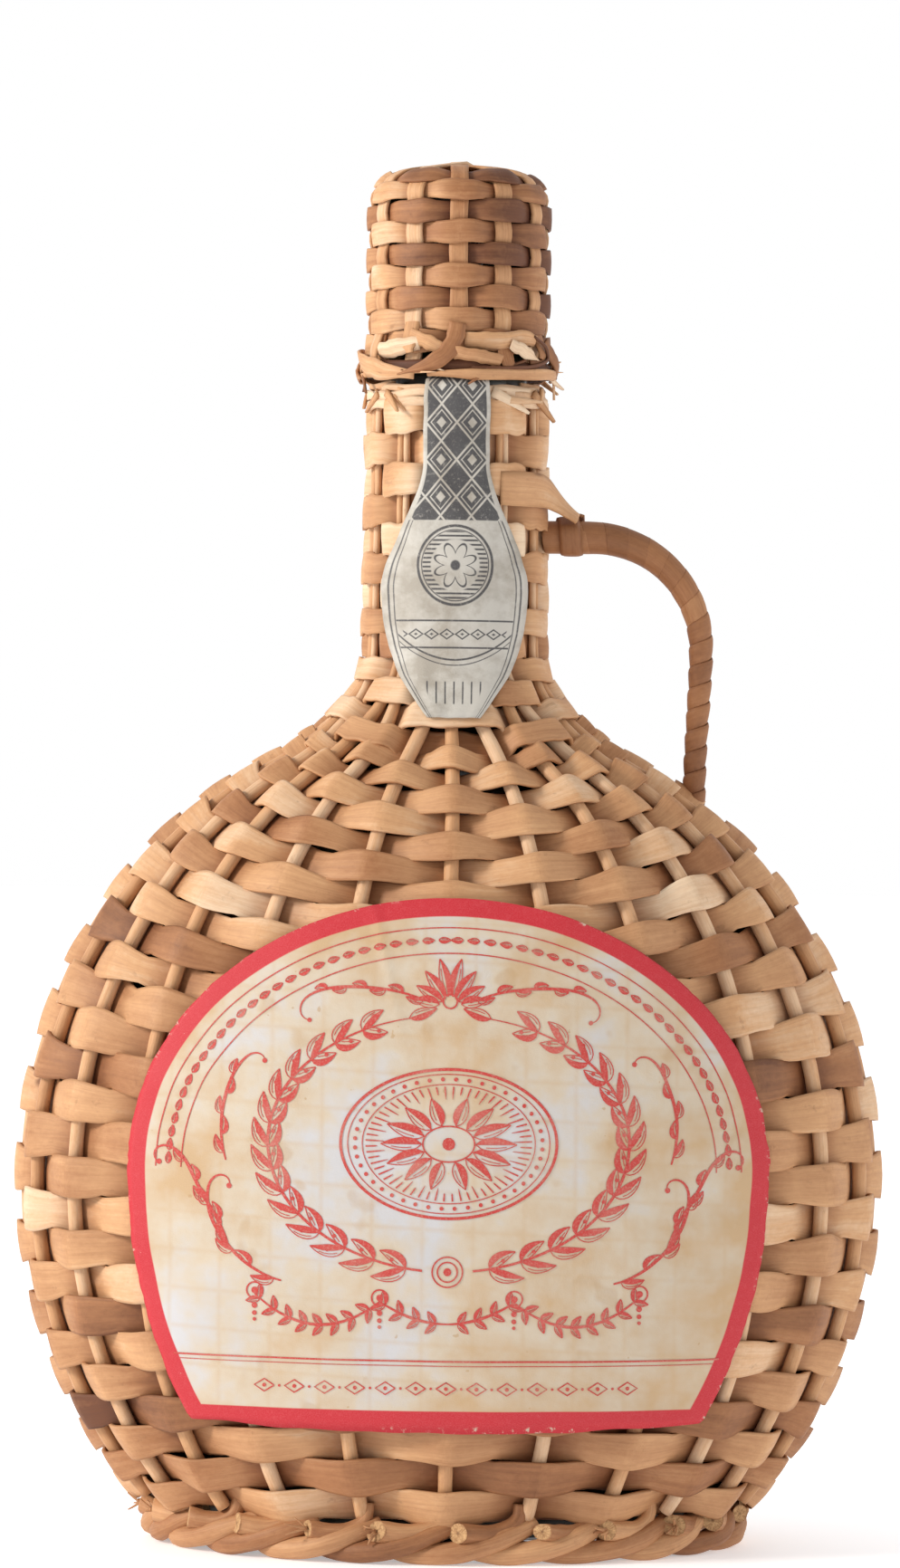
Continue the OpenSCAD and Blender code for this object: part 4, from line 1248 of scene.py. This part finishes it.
def labelFinish():
    # Aged paper with a red band at its edge, in millimetres from the label's middle
    f = Finish("front label")
    x, y, _ = f.parts(f.coordinates("UV"))
    high = y.above(0.0, 0.01)
    reach = high * (label["arch"] / mm) + (1.0 - high) * (label["taper"] / mm)
    outwards = ((x / (label["half"] / mm)) ** 2 + (y / reach) ** 2) ** 0.5
    edge = (x * x + y * y) ** 0.5 * (1.0 / outwards.maths("MAXIMUM", 0.01) - 1.0)
    inside = edge.maths("MINIMUM", y + (label["midZ"] - label["footZ"]) / mm)
    worn = f.grain(f.join(x, y), 0.9, 5.0, 0.7)
    fine = f.grain(f.join(x, y, 4.0), 5.0, 3.0, 0.6)
    cloud = f.grain(f.join(x, y, 9.0), 0.06, 4.0, 0.6)
    blotch = f.grain(f.join(x, y, 20.0), 0.13, 2.0)
    fleck = f.grain(f.join(x, y, 30.0), 0.55, 2.0, 0.4)
    # yellowed at the rim and in patches, with faint squares where the weave presses through
    age = 0.48 + (cloud - 0.5) * 0.8 + inside.below(16.0, 16.0) * 0.1
    paper = f.ramp(age, [(0.4, label["white"]), (0.52, label["paper"]), (0.68, label["aged"])])
    squares = highest(ruled(cells(x, 8.7), 0.35, 0.3), ruled(cells(y + x * 0.05, 6.6), 0.35, 0.3))
    paper = f.blend(squares * (0.12 + blotch * 0.3), paper, label["aged"])
    paper = f.blend(blotch.above(0.68, 0.03) * 0.28, paper, label["stain"])
    paper = f.blend(fleck.above(0.78, 0.012) * 0.5, paper, label["stain"])
    faded = fine.above(0.56, 0.12) * 0.35 + worn.above(0.6, 0.1) * 0.2
    red = f.blend(faded, label["red"], label["rubbed"])
    base = f.blend(inside.below(label["band"], 0.1), paper, red)
    chipped = inside.below(0.3, 0.2) * worn.above(0.6, 0.04) * cloud.above(0.52, 0.05)
    nick = worn.above(0.715, 0.01) * inside.below(label["band"] + 0.2, 0.1)
    base = f.blend(highest(chipped, nick), base, label["paper"])
    return f.finished(base, 0.5 + worn * 0.25, worn * 0.7 + cloud * 2.0 + fine * 0.2, 0.14 * mm, 0.6)


def labelPlace(u, v):
    # Where a point of the label lies, across and up, with worn edges
    z = mix(label["footZ"], label["midZ"] + label["arch"] * 0.999, 1 - (1 - v) ** 1.6)
    side = 2 * u - 1
    torn = 0.006 * rough(z * 260, side, 0) + 0.004 * rough(z * 1100, side, 3)
    x = labelHalf(z) * side * (1 + torn)
    if v < 0.001:
        z += 0.5 * mm * rough(x * 120, 0, 2) - 1.3 * mm * (1 - side * side) + 0.5 * mm
    return x, z


def labelSurface(x, z, lift=0.0):
    t = -acos(clamp(x / halfSizes(z)[0], -1, 1))
    relief = rough(x * 80, z * 150, 0) * 0.35 * mm
    crease = smooth(1 - abs(x + z * 0.22 - 12 * mm) / (1.4 * mm))
    fold = 0.22 * mm * crease * smooth((z - 85 * mm) / (20 * mm))
    return shell(z, t, -label["gap"] - label["thick"] - label["proud"] - relief - fold - lift)


def labelUv(u, v):
    x, z = labelPlace(u, v)
    return x / mm, (z - label["midZ"]) / mm


bm = bmesh.new()
gridInto(bm, 120, 110, lambda u, v: labelSurface(*labelPlace(u, v)), uvAt=labelUv)
pieceFrom(bm, "frontLabel", "jacket", [labelFinish()], ["front_label"], label["thick"])

# Print of the front label, drawn as small flat shapes in millimetres from the label's middle
printed = []


def turned(way, long=1.0):
    return long * cos(radians(way)), long * sin(radians(way))


def wayOf(x, y):
    return degrees(atan2(y, x))


def ovalPoint(rx, ry, way, middle=(0, 0)):
    x, y = turned(way)
    return middle[0] + rx * x, middle[1] + ry * y


def mixPoint(a, b, share):
    return mix(a[0], b[0], share), mix(a[1], b[1], share)


def printShape(corners):
    # A shape, and the same mirrored to the left
    printed.append(corners)
    printed.append([(-x, y) for x, y in reversed(corners)])


def printBetween(left, right):
    for i in range(len(left) - 1):
        printShape([left[i], left[i + 1], right[i + 1], right[i]])


def printLine(points, wide, taper=(1.0, 1.0)):
    # A line whose width goes from one taper to the other, thickest between
    left, right = [], []
    last = len(points) - 1
    for i, (x, y) in enumerate(points):
        before, after = points[max(i - 1, 0)], points[min(i + 1, last)]
        dx, dy = after[0] - before[0], after[1] - before[1]
        long = hypot(dx, dy) or 1
        u = i / last
        half = wide / 2 * mix(mix(taper[0], taper[1], u), 1, 4 * u * (1 - u))
        nx, ny = -dy / long * half, dx / long * half
        left.append((x + nx, y + ny))
        right.append((x - nx, y - ny))
    printBetween(left, right)


def printOval(cx, cy, rx, ry, wide, first=-90, last=90):
    count = max(6, int(abs(last - first) / 180 * (8 + 2.6 * rx)))
    printLine([ovalPoint(rx, ry, mix(first, last, i / count), (cx, cy)) for i in range(count + 1)], wide)


def printDot(x, y, r):
    around = [ovalPoint(r, r, 36 * i, (x, y)) for i in range(10)]
    if x:
        printShape(around)
    else:
        printed.append(around)


def printLeaf(x, y, way, long, wide, bend=0.0):
    # One half is filled and the other is outlined, as an engraver shades it
    rib, full, thin = [], [], []
    for i in range(9):
        u = i / 8
        c, s = turned(way + bend * u)
        half = wide / 2 * sin(pi * u ** 0.8) ** 0.9 + 0.05
        px, py = x + c * long * u, y + s * long * u
        rib.append((px, py))
        full.append((px - s * half, py + c * half))
        thin.append((px + s * half, py - c * half))
    printBetween([mixPoint(a, b, 0.1) for a, b in zip(rib, full)], full)
    printLine(rib, 0.16)
    printLine(thin, 0.17)
    printLine([mixPoint(a, b, 0.55) for a, b in zip(rib, thin)][2:-2], 0.13)


def printScroll(x, y, way, long, curls, wide, leaves, leafLong):
    # A stem that curls up: its turning, in degrees for each millimetre, goes through the curls
    count = int(long / 0.45)
    points, ways = [(x, y)], [way]
    for i in range(count):
        way += readAlong(curls, i / count) * long / count
        c, s = turned(way, long / count)
        x, y = x + c, y + s
        points.append((x, y))
        ways.append(way)
    printLine(points, wide, (0.5, 0.25))
    printDot(x, y, wide * 0.8)
    for j in range(leaves):
        at = int(count * (0.06 + 0.62 * j / (leaves - 1)))
        side = 1 if j % 2 else -1
        size = leafLong * (1 - 0.3 * j / leaves)
        printLeaf(*points[at], ways[at] + side * 42, size, leafLong * 0.42, -side * 30)


def wayAt(points, i):
    (ax, ay), (bx, by) = points[i:i + 2]
    return wayOf(bx - ax, by - ay)


design = {
    # height of the middle, and half sizes
    "midY": 5,
    "wreath": (31, 22),
    "rosette": (18.5, 12.8),
    "arch": (48.3, 39.8),
    # start, way, length, turning along it, width, leaves and their length
    "crestScroll": (3.4, 29.2, 24, 27, (-2, -2, -1, -6, -40), 0.5, 6, 3.0),
    "scrolls": [(28.5, -19.0, 12, 28, (4, 3, 3, 7, 50), 0.6, 5, 4.0),
                (37.5, -14.0, 80, 26, (-5, -1, 2, -10, -52), 0.6, 5, 3.6),
                (38.3, 1.5, 74, 23, (2, 3, 3, 2, 8, 50), 0.55, 5, 3.4)],
    "garland": [[(x * 0.96, -26 + 3.8 * (x / 12) ** 2) for x in range(13)],
                [(mix(11.5, 33, k / 24), -22.2 + 0.8 * k / 24 - 18.4 * (k / 24) * (1 - k / 24))
                 for k in range(25)]],
    "knots": [(11.5, -21.6), (33, -20.8)],
    "drops": [(2.6, 0.5), (3.9, 0.42), (5.0, 0.32)],
    "lozengesY": -37.2,
}


def drawWreath(middle):
    rx, ry = design["wreath"]
    stem = [ovalPoint(rx, ry, mix(-82, 77, i / 60), middle) for i in range(61)]
    printLine(stem, 0.5, (0.8, 0.3))
    for j in range(14):
        x, y = stem[2 + 4 * j]
        way = wayAt(stem, 2 + 4 * j)
        for side in (-1, 1):
            long = (6.2 if side < 0 else 5.4) * (1 - 0.015 * j)
            printLeaf(x, y, way + side * 48, long, 2.1, -side * 24)
        c, s = turned(way - 90)
        dx, dy = turned(way, 2.6)
        printDot(x + dx + c * 1.6, y + dy + s * 1.6, 0.4)
        printDot(x + dx - c, y + dy - s, 0.34)
    printLeaf(*stem[-1], 160, 5.0, 1.9)


def drawRosette(middle):
    rx, ry = design["rosette"]
    for size, wide in ((1.0, 0.5), (0.935, 0.16), (0.8, 0.16), (0.24, 0.25)):
        printOval(*middle, rx * size, ry * size, wide)
    for i in range(22):
        printDot(*ovalPoint(rx * 0.868, ry * 0.868, -86 + 172 * i / 21, middle), 0.36)
    for i in range(30):
        shares = (0.6 if i % 2 else 0.66, 0.68, 0.77)
        printLine([ovalPoint(rx * q, ry * q, -87 + 174 * i / 29, middle) for q in shares], 0.24, (0.3, 1.2))
    for i in range(7):
        x, y = ovalPoint(rx, ry, -75 + 25 * i)
        printLeaf(x * 0.25, middle[1] + y * 0.25, wayOf(x, y), hypot(x, y) * 0.38, 2.3)
    printDot(*middle, 1.1)


def drawCrest():
    for i in range(4):
        printLeaf(0.5 * i + 0.35, 30.2 - 0.4 * i, 83 - 23 * i, 6.6 - 0.7 * i, 2.0, -6)
    printOval(0, 29.4, 1.2, 1.2, 0.3)
    printScroll(*design["crestScroll"])


def drawGarland():
    for swag in design["garland"]:
        printLine(swag, 0.5, (0.5, 0.5))
        for k in range(2, len(swag) - 1, 3):
            for side in (-1, 1):
                printLeaf(*swag[k], wayAt(swag, k) + side * 50, 2.5, 1.1)
    for x, y in design["knots"]:
        printLine([ovalPoint(1.4, 1.4, 22.5 * i, (x, y)) for i in range(17)], 0.28)
        printDot(x, y, 0.6)
        for step, size in design["drops"]:
            printDot(x, y - step, size)


def drawFoot():
    # Two rules and a row of lozenges
    printLine([(x, -32.4) for x in range(48)], 0.3)
    printLine([(x, -33.2) for x in range(47)], 0.13)
    y = design["lozengesY"]
    for i in range(7):
        x = 5.2 * i
        printLine([(x - 1.7, y), (x, y - 1.1), (x + 1.7, y), (x, y + 1.1), (x - 1.7, y)], 0.24)
        printDot(x, y, 0.34)
        if i < 6:
            printDot(x + 2.6, y, 0.24)


def drawArch():
    rx, ry = design["arch"]
    for out in (2.2, -2.2):
        printOval(0, 0, rx + out, ry + out, 0.2, 0, 90)
    for i in range(27):
        bearing = 2.2 + 86.5 * i / 26
        x, y = ovalPoint(rx, ry, bearing)
        c, s = turned(bearing)
        way = wayOf(-rx * s, ry * c)
        dx, dy = turned(way)
        printLeaf(x - dx, y - dy, way, 2.1, 1.0)


middle = (0, design["midY"])
drawWreath(middle)
drawRosette(middle)
drawCrest()
knotY = middle[1] - design["wreath"][1]
for size in (2.6, 1.7):
    printOval(0, knotY, size, size, 0.26)
printDot(0, knotY, 0.7)
for scroll in design["scrolls"]:
    printScroll(*scroll)
drawGarland()
drawFoot()
drawArch()


def inkFinish():
    f = Finish("label print")
    x, _, z = f.parts(f.coordinates())
    rubbed = f.grain(f.join(x, z), 2600.0, 4.0, 0.7).above(0.58, 0.1)
    patch = f.grain(f.join(x, z, 2.0), 90.0, 2.0).above(0.58, 0.1)
    return f.finished(f.blend(rubbed * 0.3 + patch * 0.2, label["print"], label["paper"]), 0.6)


bm = bmesh.new()
for shape in printed:
    corners = [labelSurface(x * mm, label["midZ"] + y * mm, label["inkLift"]) for x, y in shape]
    face = bm.faces.new([bm.verts.new(c) for c in corners])
    face.normal_update()
    if face.normal.y > 0:
        face.normal_flip()
bmesh.ops.remove_doubles(bm, verts=list(bm.verts), dist=0.004 * mm)
pieceFrom(bm, "labelPrint", "jacket", [inkFinish()], (), label["inkThick"])
print("label printed:", len(printed))

seal = {
    "strip": 5.6 * mm,
    "widest": 12.4 * mm,
    "midZ": 170 * mm,
    "lower": (4.6, 6.3, 7.9, 9.3, 10.3, 11.1, 11.7, 12.1, 12.3, 12.4),
    "footZ": 147 * mm,
    "topZ": 232 * mm,
    "gap": 0.3 * mm,
    "thick": 0.25 * mm,
    "glassR": 12.6 * mm,
    "paper": "#c2bdb4",
    "shade": "#a49c90",
    "ink": "#37363a",
    # millimetres from the widest place
    "darkFrom": 12.4,
    "disc": (6.2, 7.0, 4.4),
    "rules": (-5.4, -10.2),
}


def sealHalf(z):
    if z < seal["midZ"]:
        return readAlong(seal["lower"], (z - seal["footZ"]) / (seal["midZ"] - seal["footZ"])) * mm
    reach = jacket["neckTopZ"] - 2 * seal["strip"] - seal["midZ"]
    return mix(seal["widest"], seal["strip"], smooth((z - seal["midZ"]) / reach))


def sealFinish():
    # Grey paper with charcoal print: a rosette and rules below, lozenges on a dark strip above
    f = Finish("neck seal")
    x, y, _ = f.parts(f.coordinates("UV"))
    across = f.attribute("tone")
    worn = f.grain(f.join(x, y), 1.1, 5.0, 0.7)
    cloud = f.grain(f.join(x, y, 4.0), 0.14, 3.0)
    fine = f.grain(f.join(x, y, 8.0), 6.0, 3.0)
    paper = f.ramp(cloud + (worn - 0.5) * 0.3, [(0.38, seal["shade"]), (0.6, seal["paper"])])
    lower = y.below(seal["darkFrom"], 0.1)
    outline = highest(ruled(across - 0.9, 0.013, 0.008), ruled(across - 0.83, 0.008, 0.006))
    rx, ry, lift = seal["disc"]
    v = y - lift
    r = ((x / rx) ** 2 + (v / ry) ** 2) ** 0.5
    petals = abs((v.maths("ARCTAN2", x) * 4.0).maths("SINE"))
    shading = (y * 8.0).maths("SINE").above(0.2, 0.25) * r.below(0.88, 0.01) * r.above(0.66, 0.02)
    disc = highest(ruled(r - 1.0, 0.035, 0.012), ruled(r - 0.9, 0.014, 0.008), r.below(0.13, 0.02),
                   ruled(r - 0.3 - petals * 0.28, 0.03, 0.012), shading)
    high, low = seal["rules"]
    inner = across.below(0.82, 0.01)
    rules = highest(ruled(y - high, 0.16), ruled(y - low, 0.16)) * inner
    lozenge = abs(cells(x, 2.6)) * 0.75 + abs(y - (high + low) / 2)
    beads = highest(ruled(lozenge - 0.85, 0.15), lozenge.below(0.25, 0.08)) * across.below(0.74, 0.01)
    sag = y - low - x * x * 0.05
    curves = highest(ruled(sag + 2.2, 0.18), ruled(sag + 3.2, 0.1)) * inner
    fans = ruled(cells(x + 0.75, 1.5), 0.13) * across.below(0.6, 0.02)
    fans = fans * y.below(-16.4, 0.1) * y.above(-20.5, 0.1)
    lattice = abs(cells(x, 5.2)) + abs(cells(y, 6.6)) * 0.79
    figure = highest(ruled(lattice - 2.6, 0.22), ruled(lattice - 1.75, 0.12), lattice.below(0.8, 0.1))
    dark = (1.0 - figure) * y.above(seal["darkFrom"], 0.1) * across.below(0.88, 0.01)
    ink = highest(highest(outline, disc, rules, beads, curves, fans) * lower, dark)
    ink = ink * fine.above(0.3, 0.1) * (0.93 - worn.above(0.62, 0.06) * 0.35)
    base = f.blend(ink, paper, seal["ink"])
    return f.finished(base, 0.4 + worn * 0.3, worn + cloud * 2.0, 0.2 * mm, 0.6)


def sealRoute():
    # Stations up the seal: height on the neck, then in over the rim and up the glass
    made = [("neck", mix(seal["footZ"], jacket["neckTopZ"], i / 60)) for i in range(61)]
    top = jacket["neckTopZ"] + 3.4 * mm
    r = jacket["neckTopR"] + 0.75 * mm
    inner = seal["glassR"] + seal["gap"] + seal["thick"]
    for radius, z in ((r, top - 1 * mm), (r - 0.4 * mm, top), (inner + 1.4 * mm, top + 0.9 * mm),
                      (inner + 0.3 * mm, top + 1.8 * mm), (inner, top + 3 * mm), (inner, seal["topZ"])):
        made.append(("free", (radius, z)))
    return made


sealStops = sealRoute()


def sealPoint(u, v):
    kind, at = sealStops[round(v * (len(sealStops) - 1))]
    side = 2 * u - 1
    if kind == "free":
        t = -back + side * seal["strip"] / jacket["neckTopR"]
        return Vector((at[0] * cos(t), at[0] * sin(t), at[1]))
    torn = 1 + 0.015 * rough(at * 300, side, 1)
    t = -back + asin(side * torn * sealHalf(at) / halfSizes(at)[0])
    relief = 0.3 * mm * rough(side * 2.5, at * 150, 6)
    return shell(at, t, -seal["gap"] - seal["thick"] - label["proud"] - relief)


def sealUv(u, v):
    kind, at = sealStops[round(v * (len(sealStops) - 1))]
    z = at if kind == "neck" else at[1]
    half = sealHalf(z) if kind == "neck" else seal["strip"]
    return (2 * u - 1) * half / mm, (z - seal["midZ"]) / mm


bm = bmesh.new()
gridInto(bm, 24, len(sealStops) - 1, sealPoint, values=lambda u, v: (abs(2 * u - 1), 0.5), uvAt=sealUv)
pieceFrom(bm, "neckSeal", "jacket", [sealFinish()], ["neck_seal"], seal["thick"])
print("papers made")


# Pieces that keep their CAD shape
for node, finish in (("glass_bottle", glassFinish()), ("cork", corkFinish()),
                     ("floor_long_sticks", floorFinish), ("floor_cross_sticks", floorFinish)):
    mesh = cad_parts[node].data
    mesh.materials.clear()
    mesh.materials.append(finish)


# Studio

studio = {
    "cameraFar": 1.0,
    "cameraZ": 135.7 * mm,
    "cameraX": -0.5 * mm,
    "lens": 127.5,
    "roll": radians(-0.66),
    "floor": "#f2f3f5",
    "floorGlow": 0.42,
    # from a heading to a heading, and the light there
    "room": (-0.6, 0.6, 0.4, 1.0),
    # place, size, power
    "key": ((-1.5, -0.6, 0.8), 0.4, 26),
    "fill": ((1.5, -0.5, 0.5), 0.9, 5),
    "aim": (0, 0, 0.12),
    "tint": (1, 0.96, 0.9),
}


def addFloor():
    bm = bmesh.new()
    bmesh.ops.create_grid(bm, x_segments=1, y_segments=1, size=6)
    floor = meshFrom(bm, "floor")
    f = Finish("studio floor")
    f.set(Emission_Color=studio["floor"], Emission_Strength=studio["floorGlow"])
    floor.data.materials.append(f.finished(studio["floor"], 0.6))


def addLight(name):
    place, size, power = studio[name]
    data = bpy.data.lights.new(name, "AREA")
    data.size = size
    data.energy = power
    data.color = studio["tint"]
    lamp = addObject(name, data)
    lamp.location = place
    lamp.rotation_euler = (Vector(studio["aim"]) - Vector(place)).to_track_quat("-Z", "Y").to_euler()


def addRoom():
    # White behind the flask, and dimmer before it
    world = bpy.data.worlds.new("studio")
    world.use_nodes = True
    tree = world.node_tree
    sky = tree.nodes["Background"].inputs
    sky["Color"].default_value = (1, 1, 1, 1)
    heading = tree.nodes.new("ShaderNodeTexCoord")
    split = tree.nodes.new("ShaderNodeSeparateXYZ")
    reach = tree.nodes.new("ShaderNodeMapRange")
    tree.links.new(heading.outputs["Generated"], split.inputs[0])
    tree.links.new(split.outputs["Y"], reach.inputs["Value"])
    for socket, value in zip(("From Min", "From Max", "To Min", "To Max"), studio["room"]):
        reach.inputs[socket].default_value = value
    tree.links.new(reach.outputs["Result"], sky["Strength"])
    bpy.context.scene.world = world


addFloor()
addLight("key")
addLight("fill")
addRoom()
bpy.context.scene.view_settings.view_transform = "Standard"

lens = bpy.data.cameras.new("camera")
lens.lens = studio["lens"]
lens.sensor_width = 36
camera = addObject("camera", lens)
camera.location = (studio["cameraX"], -studio["cameraFar"], studio["cameraZ"])
camera.rotation_euler = (pi / 2, studio["roll"], 0)
bpy.context.scene.camera = camera
print("studio set")
